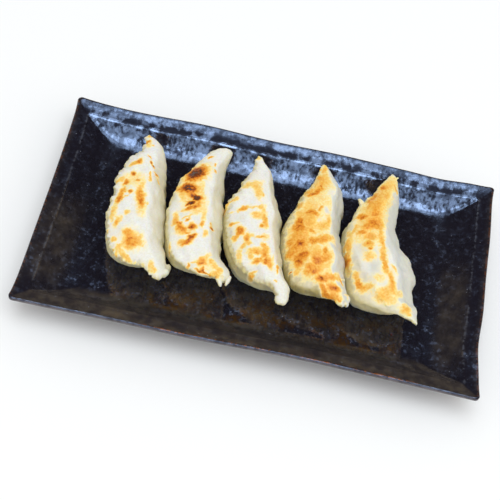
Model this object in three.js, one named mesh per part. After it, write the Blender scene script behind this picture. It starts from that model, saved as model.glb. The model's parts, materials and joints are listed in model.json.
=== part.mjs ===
// Five pan-fried gyoza side by side on a long glazed stoneware plate.
// Millimetres, +Z up. The origin is the middle of the plate's foot, on the table.
// X runs along the plate, and -Y is the side that the diner sits at.
import * as THREE from "three";
import { mergeVertices } from "three/addons/utils/BufferGeometryUtils.js";

const { lerp, smoothstep } = THREE.MathUtils;

// ---------------------------------------------------------------- plate sizes
const PLATE_LENGTH = 240;
const PLATE_WIDTH = 133;
const RIM_HEIGHT = 20;
const FLOOR_HEIGHT = 9;
const FOOT_HEIGHT = 3.5;
const BAND_WIDTH = 8.4; // the nearly level band round the rim
const BAND_DROP = 1.6;
const WALL_RUN = 14; // from the band's inner edge to the floor
const LIP_ROUND = 1.3;
const WALL_EASE = 1.9; // steepest under the band, then easing into the floor
const BAND_STEP = 0.5; // the small step down at the band's inner edge
const FOOT_INSET = 27; // from the rim to the foot's outer face
const FOOT_WIDTH = 5;
const FOOT_ROUND = 0.6;
const CORNER_RADIUS = 2.6;
const FLOOR_CORNER_RADIUS = 11;
const CORNER_LIFT = 1.1; // the four corners stand a little proud
const CORNER_FLARE = 0.8;
const RIM_WAVE = 0.25; // rise and fall of a hand-pressed rim
// The underside from the foot out to the rim: [inset, height, corner radius].
const UNDERSIDE = [[15, 5.8, 8], [5.5, 11.6, 4.5], [1, 16.2, 3]];
const LIP = [[0, 17.9], [0.1, 19.2], [0.6, 19.8], [LIP_ROUND, RIM_HEIGHT]];
// Where the hand-pressed rim swells out or is pushed in: a side's outward direction,
// the place along that side, how far out, and over what length.
const SWELLS = [
  { side: [0, 1], at: -45, out: 0.9, spread: 26 },
  { side: [0, 1], at: 90, out: -1.2, spread: 14 },
  { side: [0, 1], at: 35, out: 0.5, spread: 30 },
  { side: [0, -1], at: 38, out: -1.4, spread: 42 },
  { side: [1, 0], at: -36, out: -1.5, spread: 14 },
  { side: [1, 0], at: 34, out: 0.8, spread: 22 },
  { side: [-1, 0], at: 0, out: -0.4, spread: 40 },
];

// ---------------------------------------------------------------- gyoza sizes
const REST_GAP = 0.3; // between a gyoza and the plate
const TIP_HEIGHT = 21; // top of the sealed ends, above the plate's floor
const TIP_THICKNESS = 3.5;
const TIP_HALF_WIDTH = 3.5; // a section this narrow is a flat sealed end
const FULL_HALF_WIDTH = 12.5; // and one this wide is a full, filled belly
const FAR_LIFT = 0.36; // where the underside leaves the plate towards the far end
const TIP_ROUND_SHARE = 0.06; // share of the half length that rounds off each end
const PLEATS = 5;
const PLEAT_DEPTH = 0.75;
const PLEATS_START = -0.72;
const PLEATS_END = 0.6;
const FRILL_REACH = 0.1; // how far the frill sticks out, as a share of the half width
const FRILL_RISE = 0.9;
const LUMP_HEIGHT = 0.5; // low lumps of the filling under the fried face
const LUMP_PITCH = [10, 18]; // across and along
const NEIGHBOUR_SHIFT = 2.1; // so that no two gyoza are lumpy alike
const CURVE_TENSION = 0.5;
const AROUND = 28;
const ALONG = 38;

// Where the reaches below are given, from the near end (-1) to the far end (1).
const STATIONS = [-1, -0.88, -0.7, -0.38, 0, 0.38, 0.65, 0.85, 1];

// far, near: the two sealed ends on the plate. left, right: how far the body reaches
// from the straight line between its ends. ridge: share of the half width at which
// the fried face turns down into the pleated side. shoulder: the same for the smooth
// side at the near end. lift: where the underside leaves the plate towards the near end.
const GYOZA = [
  {
    far: [-73, 45], near: [-50, -42.5], height: 26, ridge: 0.47, shoulder: 0.9, lift: 0.36,
    left: [-4, -8.5, -21.5, -26, -25.4, -20.4, -13.6, -5.2, -3.4],
    right: [4, 4.5, 4.3, 4.2, 5.8, 6.5, 6.7, 5.6, 2],
  },
  {
    far: [-32, 47.2], near: [-16.6, -38.4], height: 26, ridge: 0.52, shoulder: 0.88, lift: 0.38,
    left: [-3, -13, -26, -31, -31, -26, -18.5, -12, -5],
    right: [2.4, 3.2, -0.7, -1.8, -0.7, -1.3, -0.5, 2.2, 4],
  },
  {
    far: [-12.5, 46.6], near: [14, -42.2], height: 25.5, ridge: 0.6, shoulder: 0.84, lift: 0.34,
    left: [-2.8, -3.2, -12.4, -22.4, -24.8, -21.8, -12.5, -4.5, -2.8],
    right: [3, 4.3, 4, 4.6, 5.4, 5.5, 5.9, 4.9, 2.5],
  },
  {
    far: [22.5, 50.2], near: [44.5, -36.4], height: 27, ridge: 0.68, shoulder: 0.7, lift: 0.38,
    left: [-3, -8.5, -23.5, -27.2, -27.2, -19.8, -10.8, -5, -1.4],
    right: [3, 4, 3.8, 5, 5, 8.2, 8, 4.7, 1.4],
  },
  {
    far: [61.5, 53.6], near: [81, -37], height: 26.5, ridge: 0.4, shoulder: 0.7, lift: 0.5,
    left: [-3.6, -13.5, -28.8, -31, -32.2, -27.1, -16.6, -8.7, -1.6],
    right: [3.4, 3, 3.1, 5.8, 0.9, -1, 2.1, 2.7, 1.5],
  },
];

// The cross-section's points as [across, up]: across runs from -1 at the smooth left
// side to 1 at the pleated right side, up from 0 underneath to 1 on the fried face.
// The frill, where the dough is sealed, sticks out low on the right.
const BELLY_SECTION = [
  [-0.9, 0.87], [-0.52, 0.955], [-0.1, 0.995], [0.28, 1], [0.6, 0.93], [0.8, 0.72],
  [0.93, 0.45], [0.99, 0.22], [1.02, 0.12], [1.1, 0.06], [1.04, 0.015], [0.7, 0],
  [0.1, 0], [-0.45, 0.06], [-0.82, 0.27], [-1, 0.55], [-1, 0.77],
];
const TIP_SECTION = [
  [-0.9, 0.62], [-0.52, 0.9], [-0.05, 1], [0.35, 0.97], [0.65, 0.85], [0.85, 0.68],
  [0.96, 0.5], [1, 0.35], [1.01, 0.25], [1, 0.12], [0.88, 0.03], [0.55, 0],
  [0.1, 0], [-0.4, 0.05], [-0.75, 0.17], [-0.93, 0.3], [-0.98, 0.45],
];
// How much each point moves with the pleats, and with the frill.
const PLEAT_SHARE = [0, 0, 0, 0, 0.1, 0.45, 0.8, 1, 1, 0.6, 0.6, 0, 0, 0, 0, 0, 0];
const FRILL_SHARE = [0, 0, 0, 0, 0, 0, 0, 0, 0.45, 1, 0.5, 0, 0, 0, 0, 0, 0];

// ---------------------------------------------------------------- helpers
// A smooth curve through values given at uneven stations.
function along(stations, values, s) {
  const last = stations.length - 1;
  const slope = (i) => {
    const a = Math.max(i - 1, 0);
    const b = Math.min(i + 1, last);
    return (values[b] - values[a]) / (stations[b] - stations[a]);
  };
  let i = 0;
  while (i < last - 1 && s >= stations[i + 1]) i += 1;
  const step = stations[i + 1] - stations[i];
  const t = (s - stations[i]) / step;
  const start = values[i] * (1 + 2 * t) * (1 - t) ** 2 + step * slope(i) * t * (1 - t) ** 2;
  return start + values[i + 1] * t * t * (3 - 2 * t) + step * slope(i + 1) * t * t * (t - 1);
}

function mesh(name, geometry, color, roughness) {
  const material = new THREE.MeshStandardMaterial({ color, roughness, metalness: 0 });
  const made = new THREE.Mesh(geometry, material);
  made.name = name;
  return made;
}

// Moves every vertex of a ready geometry by place(u, v, position), then closes its seams.
function reshape(geometry, place) {
  const position = geometry.attributes.position;
  const uv = geometry.attributes.uv;
  for (let i = 0; i < position.count; i += 1) {
    const at = new THREE.Vector3().fromBufferAttribute(position, i);
    const moved = place(uv.getX(i), uv.getY(i), at);
    position.setXYZ(i, moved.x, moved.y, moved.z);
  }
  geometry.deleteAttribute("normal");
  geometry.deleteAttribute("uv");
  const closed = mergeVertices(geometry, 1e-4);
  closed.computeVertexNormals();
  return closed;
}

// ---------------------------------------------------------------- plate
// The plate's profile as [inset from the rim's edge, height, corner radius], from the
// middle of the underside, round the rim, to the middle of the floor.
function plateProfile() {
  const footInner = FOOT_INSET + FOOT_WIDTH;
  const middle = PLATE_WIDTH / 2;
  const bandInner = LIP_ROUND + BAND_WIDTH;
  const bandInnerHeight = RIM_HEIGHT - BAND_DROP;
  const points = [
    [middle, FOOT_HEIGHT, 0],
    [footInner + 2 * FOOT_ROUND, FOOT_HEIGHT, 6],
    [footInner + 0.3, FOOT_ROUND, 6.6],
    [footInner - FOOT_ROUND, 0, 7],
    [FOOT_INSET + FOOT_ROUND, 0, 10],
    [FOOT_INSET - 0.3, FOOT_ROUND, 10.5],
    [FOOT_INSET - 2 * FOOT_ROUND, FOOT_HEIGHT, 11],
    ...UNDERSIDE,
    ...LIP.map(([inset, height]) => [inset, height, CORNER_RADIUS]),
    [bandInner - BAND_STEP, bandInnerHeight, CORNER_RADIUS + 0.6],
  ];
  const wallTop = bandInnerHeight - BAND_STEP;
  const wallSteps = 6;
  for (let i = 0; i <= wallSteps; i += 1) {
    const t = i / wallSteps;
    const fall = 1 - (1 - t) ** WALL_EASE;
    const inset = bandInner + BAND_STEP + t * WALL_RUN;
    const height = lerp(wallTop, FLOOR_HEIGHT + 0.15, fall);
    points.push([inset, height, lerp(CORNER_RADIUS + 0.8, FLOOR_CORNER_RADIUS, t ** 0.7)]);
  }
  points.push([middle - 12, FLOOR_HEIGHT, 4], [middle, FLOOR_HEIGHT, 0]);
  return points;
}

// Places round the plate: core point as a share of the half sizes, and outward direction.
function plateStations() {
  const cornerSteps = 4;
  const longSteps = 16;
  const shortSteps = 9;
  const stations = [];
  const corners = [[1, 1], [-1, 1], [-1, -1], [1, -1]];
  corners.forEach(([x, y], corner) => {
    for (let i = 0; i <= cornerSteps; i += 1) {
      stations.push({ x, y, angle: (corner + i / cornerSteps) * (Math.PI / 2) });
    }
    const [nextX, nextY] = corners[(corner + 1) % 4];
    const steps = x !== nextX ? longSteps : shortSteps;
    for (let i = 1; i < steps; i += 1) {
      const t = i / steps;
      stations.push({ x: lerp(x, nextX, t), y: lerp(y, nextY, t), angle: (corner + 1) * (Math.PI / 2) });
    }
  });
  return stations;
}

// How far the rim is pushed out at a place whose outward direction is given.
function swell(x, y, outX, outY) {
  return SWELLS.reduce((sum, { side, at, out, spread }) => {
    const facing = Math.max(side[0] * outX + side[1] * outY, 0);
    const distance = (side[0] ? y : x) - at;
    return sum + out * facing * Math.exp(-((distance / spread) ** 2));
  }, 0);
}

function plate() {
  const profile = plateProfile();
  const stations = plateStations();
  const outline = profile.map(([inset, height]) => new THREE.Vector2(PLATE_WIDTH / 2 - inset, height));
  const lathe = new THREE.LatheGeometry(outline, stations.length);
  const rows = profile.length - 1;
  return reshape(lathe, (u, v) => {
    const [inset, height, radius] = profile[Math.round(v * rows)];
    const station = stations[Math.round(u * stations.length) % stations.length];
    const halfWidth = PLATE_WIDTH / 2 - inset;
    const halfLength = halfWidth > 0 ? PLATE_LENGTH / 2 - inset : 0;
    const round = Math.min(radius, halfWidth);
    const coreX = Math.max(halfLength - round, 0) * station.x;
    const coreY = Math.max(halfWidth - round, 0) * station.y;
    const rim = 1 - smoothstep(inset, 2, 24);
    const corner = Math.abs(station.x * station.y) ** 10;
    const outX = Math.cos(station.angle);
    const outY = Math.sin(station.angle);
    const out = round + rim * (CORNER_FLARE * corner + swell(coreX, coreY, outX, outY));
    const wave = RIM_WAVE * Math.sin(coreX * 0.083 + station.y * 1.7 + coreY * 0.06);
    const lift = height > FOOT_HEIGHT ? rim * rim * (CORNER_LIFT * corner + wave) : 0;
    return new THREE.Vector3(coreX + out * outX, coreY + out * outY, height + lift);
  });
}

// ---------------------------------------------------------------- gyoza
// One pleat after another, each rising slowly and dropping faster onto the next: -1 to 1.
function pleat(s) {
  const turns = ((s - PLEATS_START) / (PLEATS_END - PLEATS_START)) * PLEATS * 2 * Math.PI;
  const middle = (PLEATS_START + PLEATS_END) / 2;
  const fade = 1 - smoothstep(Math.abs(s - middle), 0.5, 0.72);
  return fade * Math.sin(turns + 0.5 * Math.sin(turns));
}

// The closed curve round the body at one station, as a three.js curve in [across, up].
function section(form, s) {
  const left = along(STATIONS, form.left, s);
  const right = along(STATIONS, form.right, s);
  const halfWidth = (right - left) / 2;
  const end = Math.abs(s);
  const fullness = smoothstep(halfWidth, TIP_HALF_WIDTH, FULL_HALF_WIDTH);
  const top = lerp(form.height, TIP_HEIGHT, smoothstep(end, 0.35, 1));
  const liftStart = s < 0 ? form.lift : FAR_LIFT;
  const bottom = (TIP_HEIGHT - TIP_THICKNESS) * smoothstep(end, liftStart, 1);
  const pastRound = Math.max((end - 1 + TIP_ROUND_SHARE) / TIP_ROUND_SHARE, 0);
  const rounding = Math.sqrt(1 - Math.min(pastRound, 1) ** 2);
  const shoulder = lerp(0.9, form.shoulder, smoothstep(-s, 0.2, 0.7));
  const belly = BELLY_SECTION.map(([across, up]) => [across, up]);
  belly[0][0] = -shoulder;
  belly[1][0] = -0.58 * shoulder;
  belly[2][0] = form.ridge * 0.5 - 0.4;
  belly[3][0] = form.ridge * 0.5;
  belly[4][0] = form.ridge;
  belly[5][0] = 0.49 * (form.ridge + 1);
  const middle = (left + right) / 2;
  const centre = (top + bottom) / 2;
  const crease = fullness * rounding * pleat(s);
  const frill = fullness * rounding * smoothstep(-s, -0.6, 0) * smoothstep(s, -0.8, -0.3);
  const points = belly.map(([across, up], i) => {
    const [tipAcross, tipUp] = TIP_SECTION[i];
    const x = middle + halfWidth * lerp(tipAcross, across, fullness) * rounding;
    const z = lerp(centre, lerp(bottom, top, lerp(tipUp, up, fullness)), rounding);
    const reach = halfWidth * FRILL_REACH * frill * FRILL_SHARE[i];
    const rise = FRILL_RISE * (frill + 0.4 * crease) * FRILL_SHARE[i];
    return new THREE.Vector3(x + reach + PLEAT_DEPTH * crease * PLEAT_SHARE[i], 0, z + rise);
  });
  return new THREE.CatmullRomCurve3(points, true, "catmullrom", CURVE_TENSION);
}

function gyoza(form, number) {
  const far = new THREE.Vector2(...form.far);
  const near = new THREE.Vector2(...form.near);
  const axis = far.clone().sub(near);
  const halfLength = axis.length() / 2;
  axis.normalize();
  const across = new THREE.Vector2(axis.y, -axis.x);
  const middle = far.clone().add(near).multiplyScalar(0.5);
  const curves = Array.from({ length: ALONG + 1 }, (_, row) => {
    const q = (2 * row) / ALONG - 1;
    const s = lerp(q, Math.sin((q * Math.PI) / 2), 0.6); // closer rows near the ends
    return { s, curve: section(form, s) };
  });
  const ball = new THREE.SphereGeometry(1, AROUND, ALONG);
  return reshape(ball, (u, v) => {
    const { s, curve } = curves[Math.round(v * ALONG)];
    const at = curve.getPoint((Math.round(u * AROUND) % AROUND) / AROUND);
    const onFace = smoothstep(at.z, form.height * 0.75, form.height * 0.95);
    const shift = number * NEIGHBOUR_SHIFT;
    const lumpAcross = Math.sin((at.x / LUMP_PITCH[0]) * 2 * Math.PI + shift);
    const lumpAlong = Math.sin(((s * halfLength + at.x / 2) / LUMP_PITCH[1]) * 2 * Math.PI + shift);
    const x = middle.x + across.x * at.x + axis.x * s * halfLength;
    const y = middle.y + across.y * at.x + axis.y * s * halfLength;
    const z = Math.max(at.z, 0) + LUMP_HEIGHT * lumpAcross * lumpAlong * onFace;
    return new THREE.Vector3(x, y, FLOOR_HEIGHT + REST_GAP + z);
  });
}

// ---------------------------------------------------------------- the served plate
const served = new THREE.Group();
served.add(mesh("plate", plate(), 0x1a1c2a, 0.25));
GYOZA.forEach((form, i) => {
  served.add(mesh(`gyoza_${i + 1}`, gyoza(form, i + 1), 0xefe6cf, 0.55));
});

export default served;
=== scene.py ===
import json
import math

import bmesh
import bpy
import numpy as np
from bpy.props import FloatProperty, FloatVectorProperty, IntProperty, PointerProperty
from mathutils import Matrix, Vector, noise
from mathutils.bvhtree import BVHTree

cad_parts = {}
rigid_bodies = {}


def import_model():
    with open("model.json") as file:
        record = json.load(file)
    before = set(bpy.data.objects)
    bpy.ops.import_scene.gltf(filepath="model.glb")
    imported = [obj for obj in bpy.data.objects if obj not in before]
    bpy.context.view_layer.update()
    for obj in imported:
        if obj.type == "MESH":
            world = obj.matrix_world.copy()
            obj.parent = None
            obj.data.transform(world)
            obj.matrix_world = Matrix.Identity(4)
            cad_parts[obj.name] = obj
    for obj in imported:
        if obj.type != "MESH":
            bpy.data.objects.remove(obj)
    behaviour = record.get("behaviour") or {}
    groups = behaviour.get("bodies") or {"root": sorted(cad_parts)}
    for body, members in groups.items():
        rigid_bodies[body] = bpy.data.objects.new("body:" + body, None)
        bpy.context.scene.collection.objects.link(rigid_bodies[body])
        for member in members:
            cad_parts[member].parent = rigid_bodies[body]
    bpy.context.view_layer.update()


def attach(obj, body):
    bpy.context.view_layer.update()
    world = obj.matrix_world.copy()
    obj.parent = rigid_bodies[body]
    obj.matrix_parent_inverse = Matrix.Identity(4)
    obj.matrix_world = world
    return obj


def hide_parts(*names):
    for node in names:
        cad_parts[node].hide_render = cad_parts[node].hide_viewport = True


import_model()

bl_info = {
    "name": "Gyoza on a Long Plate",
    "version": (1, 0, 0),
    "blender": (4, 5, 0),
    "location": "View3D > Sidebar > Gyoza",
    "description": "Builds five pan-fried gyoza and their glazed stoneware plate",
    "category": "Add Mesh",
}

MM = 0.001  # sizes below are in millimetres, and meshes are in metres

# ------------------------------------------------------------------ plate sizes
PLATE_LENGTH = 240
PLATE_WIDTH = 133
RIM_HEIGHT = 20
FLOOR_HEIGHT = 9
FOOT_HEIGHT = 3.5
BAND_WIDTH = 7
BAND_DROP = 2.5
FACET_WIDTH = 0.7
FACET_DROP = 0.35
WALL_RUN = 10.8
SIDE_WALL_RUN = 19.2
WALL_EASE = 1.6  # 1 is a straight slope, and more is steeper at the top
WALL_STEPS = 15
WALL_FOOT_RISE = 0.15
LIP_ROUND = 0.7
FOOT_INSET = 27
FOOT_WIDTH = 5
FOOT_ROUND = 0.6
CORNER_RADIUS = 1.4
BAND_CORNER_RADIUS = 2
FACET_CORNER_RADIUS = 2.2
FLOOR_CORNER_RADIUS = 3.5
FLAT_CORNER_RADIUS = 4
FLAT_HALF_WIDTH = 12
FOOT_CORNER_RADII = (6, 6.6, 7, 10, 10.5, 11)  # across the foot ring, from inside to outside
CORNER_STEPS = 8
CORNER_LIFT = 1.1
CORNER_FLARE = 0.8
CORNER_SHARPNESS = 10  # the higher, the less of the sides the corners' lift and flare take in
RIM_REACH = (2, 24)  # how far in from the rim its unevenness starts to fade, and is gone
RIM_WAVE = 0.25
RIM_WAVE_RATE = (0.083, 0.06)  # along and across the plate, in radians for each millimetre
RIM_WAVE_SHIFT = 1.7  # so that the two long sides differ
RIPPLE_SIZE = 14
PROFILE_PITCH = 1.4
# (inset from the rim, height, corner radius) and (inset from the rim, height).
UNDERSIDE = ((15, 5.8, 8), (5.5, 11.6, 4.5), (1, 16.2, 3))
LIP = ((0, 17.9), (0.06, 19.4), (0.28, 19.88), (LIP_ROUND, RIM_HEIGHT))
# The groove at the band's inner edge: how far out from that edge, and how far above it.
GROOVE = ((1.8, 0.3), (0.9, 0.11), (0, 0))
# A side's outward direction, the place along it, how far out it swells, over what length.
SWELLS = (
    ((0, 1), -45, 0.9, 26),
    ((0, 1), 90, -1.2, 14),
    ((0, 1), 118, -0.9, 9),
    ((0, 1), 35, 0.5, 30),
    ((0, -1), 38, -1.4, 42),
    ((1, 0), -36, -1.5, 14),
    ((1, 0), 34, 0.8, 22),
    ((-1, 0), 0, -0.4, 40),
)

BAND_INNER = LIP_ROUND + BAND_WIDTH
WALL_FOOT = BAND_INNER + FACET_WIDTH + WALL_RUN

# Thin brown veils in the glaze of the short sides: (x, y, width, length).
VEILS = ((-108, -26, 9, 27), (104, -20, 7, 30))
# How hazy the glaze is, from 0 to 1, and the size of the patches in the veils.
VEIL_HAZE = 0.62
VEIL_PATCH_SIZE = 7
END_WALL_HAZE = 0.95  # on the near wall, close to the two ends
MIDDLE_WALL_HAZE = 0.6
SIDE_HAZE = 0.3
LEAST_HAZE = 0.04
# How strong the painted reflection of the gyoza is, in orange-brown on the floor before them, and the worn
# lip at the plate's two ends.
REFLECTION_SHARE = 0.85
END_LIP_SHARE = 0.6
GLAZE_IOR = 2.15
GLAZE_TINT = (0.9, 0.74, 0.7, 1)

# ------------------------------------------------------------------ gyoza sizes
REST_GAP = 0.3
TIP_HEIGHT = 21
TIP_THICKNESS = 3.5
TIP_HALF_WIDTH = 3.5
FULL_HALF_WIDTH = 12.5
FAR_LIFT = 0.36
TIP_ROUND_SHARE = 0.06
PLEATS = 5
PLEAT_DEPTH = 0.5
PLEATS_START = -0.72
PLEATS_END = 0.6
FRILL_REACH = 0.05
FRILL_RISE = 0.9
FACE_LEVEL_TO = 0.35  # from here to the tips, as a share of the half length, the face slopes down
LUMP_PITCH = (10, 18)
NEIGHBOUR_SHIFT = 2.1  # so that no two gyoza are lumpy alike
RAG_SIZES = (3.2, 1.4)  # of the coarse and the fine tears in the crust's edge
UNDERCUT = 0.7
BLISTER_SIZE = 4.5
BLISTER_HEIGHT = 0.32
WRINKLE_SIZE = 2
WRINKLE_HEIGHT = 0.12
CRUST_HEIGHT = 0.25
GOLD_PATCH_SIZE = 7
OIL_PATCH_SIZE = 6
SOFTENING = 0.5
SOFTENING_ROUNDS = 4
CONTACT_GAP = 0.12
CONTACT_DEPTH = 4
CONTACT_ROUNDS = 3
STATIONS = np.array([-1, -0.88, -0.7, -0.38, 0, 0.38, 0.65, 0.85, 1])

# How a browned mark fades outwards, with a paler halo round it, and how uneven its edge is.
SPOT_BLEND = 5  # the higher, the less two marks add up where they overlap
SPOT_FALL = 0.17
HALO = 0.62
HALO_FALL = 0.36
SPOT_WANDER = 0.8
SPOT_WANDER_SIZE = 2.6
SPOT_GRAIN = 0.4
SPOT_GRAIN_SIZE = 1.6

# far and near are the two sealed ends, and height is the fried face's. left and right are
# how far the body reaches from the straight line between its ends, at each of STATIONS,
# from the near end (-1) to the far end (1). face and ridge are the shares of the half
# width at which the face turns down on the smooth left and the pleated right, and
# shoulder is face at the near end. lift is where the underside leaves the plate towards
# the near end. cut is how much of the near end is squared off, and ragged how far the
# crust juts out. gold is how browned the whole face is; the next is how much the smooth
# side's lower belly darkens to olive, partly oil soaked into it and partly painted shade
# between neighbours; and the one after is how much the pleated side greys, partly the
# filling showing through and partly painted shade. grey are ovals where the filling shows
# through the face, too: (x, y, half length, half width, turn in degrees, strength). A press
# pushes the dough near a place: (x, y, reach, push in x, push in y). Lumps of torn dough at
# the tip are (x, y, z, half length, half width, half height, turn in degrees). A fold is a
# line from one place to another, with its height, which is below 0 for a crease, and its width.
GYOZA = (
    dict(
        far=(-73, 45), near=(-50, -42.5), height=26, face=0.88, ridge=0.47, shoulder=0.9,
        lift=0.36, cut=1.5, ragged=1.3, gold=0.05, oil_and_shade=0.2, glassy_and_shade=0.15,
        grey=(),
        left=(-4, -8.5, -21.5, -26, -25.4, -20.4, -13.6, -5.2, -3.4),
        right=(4, 4.5, 4.3, 4.2, 5.8, 6.5, 6.7, 5.6, 2),
        presses=(
            (-78, 31.5, 3, 2, 0), (-85, 20, 5, 2, -0.5), (-87.5, 5, 4, 1.5, 0.5), (-87.5, -1.5, 6, 2.5, 0.5),
            (-87, -8.5, 3, 1, 0.5), (-85.5, -18, 4, 1, 0.5), (-58, -39.5, 4, 0, 2), (-70, 45, 5, -1, -1),
            (-61.5, 30.5, 8, 0.5, 0),
        ),
        tip=(
            (-50.5, -40, 28, 3.5, 3, 2.5, 70), (-48, -38, 27, 3.5, 2.5, 2.5, 40),
            (-47.5, -33, 21.5, 3.5, 2, 4.5, 60),
        ),
        folds=((-60, 20, -56, 2, -0.5, 2.5), (-56, 2, -53, -16, 0.4, 2.5)),
    ),
    dict(
        far=(-32, 47.2), near=(-16.6, -38.4), height=26, face=0.85, ridge=0.52, shoulder=0.88,
        lift=0.38, cut=4.5, ragged=0.6, gold=0.05, oil_and_shade=0.25, glassy_and_shade=0.15,
        grey=(),
        left=(-3, -13, -26, -31, -31, -26, -18.5, -12, -5),
        right=(2.4, 3.2, -0.7, -1.8, -0.7, -1.3, -0.5, 2.2, 4),
        presses=((-28.5, 24, 7, 1, 0.5), (-18.5, -27.5, 4, 2, 0.5), (-28, 45.5, 4, 0.5, 0)),
        tip=(
            (-19.5, -36.5, 28.5, 4, 1.5, 1.5, 115), (-15, -35.5, 28.5, 3.5, 1.2, 1.5, 75),
            (-18.5, -33, 27.5, 3.5, 3.5, 2.5, 0),
        ),
        folds=((-27, 9, -25, -6, 0.5, 3),),
    ),
    dict(
        far=(-12.5, 46.6), near=(14, -42.2), height=25.5, face=0.78, ridge=0.6, shoulder=0.84,
        lift=0.34, cut=1, ragged=1, gold=0.05, oil_and_shade=0.25, glassy_and_shade=0.1,
        grey=(),
        left=(-2.8, -3.2, -12.4, -22.4, -24.8, -21.8, -12.5, -4.5, -2.8),
        right=(3, 4.3, 4, 4.6, 5.4, 5.5, 5.9, 4.9, 2.5),
        presses=(
            (-7.5, 44.5, 4.5, -1.5, -1), (-22.5, 24, 4.5, 2, 0.5), (-25, 17, 4, 2, 0), (4, 13, 9, 2, 1),
            (15.5, -30.5, 4, 2, 0.5), (5.5, -36, 4, 0.5, 2), (-9, -24, 6, -0.5, -1),
        ),
        tip=(
            (13.5, -39.5, 28.5, 3.5, 3, 2, 110), (12.5, -41, 28, 1.5, 1, 1.5, 80),
            (15.5, -39, 28, 2.5, 1.5, 1.5, 75),
        ),
        folds=((-1, 20, 4, 0, 0.3, 3),),
    ),
    dict(
        far=(22.5, 50.2), near=(44.5, -36.4), height=27, face=0.74, ridge=0.58, shoulder=0.5,
        lift=0.38, cut=3, ragged=0.8, gold=0.2, oil_and_shade=1, glassy_and_shade=0.85,
        grey=(),
        left=(-3, -8.5, -23.5, -27.2, -27.2, -19.8, -10.8, -5, -1.4),
        right=(3, 4, 3.8, 5, 5, 8.2, 8, 4.7, 1.4),
        presses=(
            (9.5, 19, 5, 1.5, 0), (17, 36, 2.5, 1, 0.5), (35.5, 32.5, 8, 1, 0.5), (39.5, -33.5, 4, 0, 1.5),
            (42.5, -7.5, 6, 1, 0.5),
        ),
        tip=(
            (42.5, -33, 28.5, 4, 2.5, 2, 125), (46, -34, 28, 2, 1.5, 1.5, 20),
            (47, -31, 28, 1.5, 2, 1.5, 0), (46, -29.5, 28.5, 1.5, 1, 1, 30), (43, -20.5, 28, 1.5, 1, 2, 30),
        ),
        folds=((33, 30, 38, 12, -0.5, 3),),
    ),
    dict(
        far=(61.5, 53.6), near=(81, -37), height=26.5, face=0.74, ridge=0.4, shoulder=0.5,
        lift=0.5, cut=1, ragged=0.8, gold=0.1, oil_and_shade=0.35, glassy_and_shade=0.7,
        grey=((49.5, 3, 9, 3.5, -80, 0.95), (57.5, -11, 8, 3.5, -75, 0.85), (56, -3.5, 1.2, 1.6, 60, 0.5)),
        left=(-3.6, -13.5, -28.8, -31, -32.2, -27.1, -16.6, -8.7, -1.6),
        right=(3.4, 3, 3.1, 5.8, 0.9, -1, 2.1, 2.7, 1.5),
        presses=(
            (41, 23, 2.5, 2.5, 0.5), (40, 18.5, 3, 1.5, 0.5), (51, 39, 3, 1, -0.5), (67, 31.5, 6, 1, 0.5),
            (76.5, 2.5, 9, 1.5, 0.5), (83, -13, 4, -1, 0), (82, -28, 4, 1, 0.5), (75, -34.5, 4.5, 0, 3),
            (71.5, -32.5, 3, 0, 1.5),
        ),
        tip=(
            (81.5, -35, 28, 3, 1.5, 1.5, -40), (46, 29, 31, 1.5, 2, 1.5, 40),
            (64, 51.5, 29.5, 1, 0.5, 0.5, 40),
        ),
        folds=((69, 12, 73, -6, -0.8, 3), (73, -6, 79, -24, -0.8, 3)),
    ),
)

# The cross-section as (across, up), from the left of the fried face, over the ridge, down
# the pleated side to the frill, and back under the smooth belly. The face's own six
# points move across with each gyoza's face, shoulder and ridge.
BELLY_SECTION = np.array([
    (-0.8, 0.87), (-0.46, 0.955), (-0.1, 0.995), (0.28, 1), (0.6, 0.97), (0.84, 0.8),
    (0.98, 0.58), (1.02, 0.35), (1, 0.18), (1.02, 0.07), (0.98, 0.015), (0.7, 0),
    (0.1, 0), (-0.45, 0.04), (-0.82, 0.18), (-1, 0.42), (-0.97, 0.69),
])
TIP_SECTION = np.array([
    (-0.9, 0.62), (-0.52, 0.9), (-0.05, 1), (0.35, 0.97), (0.65, 0.85), (0.85, 0.68),
    (0.96, 0.5), (1, 0.35), (1.01, 0.25), (1, 0.12), (0.88, 0.03), (0.55, 0),
    (0.1, 0), (-0.4, 0.05), (-0.75, 0.17), (-0.93, 0.3), (-0.98, 0.45),
])
# How much each of those points takes part in the pleats, and in the frill.
PLEAT_SHARE = np.array([0, 0, 0, 0, 0.1, 0.45, 0.8, 1, 1, 0.6, 0.6, 0, 0, 0, 0, 0, 0])
FRILL_SHARE = np.array([0, 0, 0, 0, 0, 0, 0, 0, 0.45, 1, 0.5, 0, 0, 0, 0, 0, 0])

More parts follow.
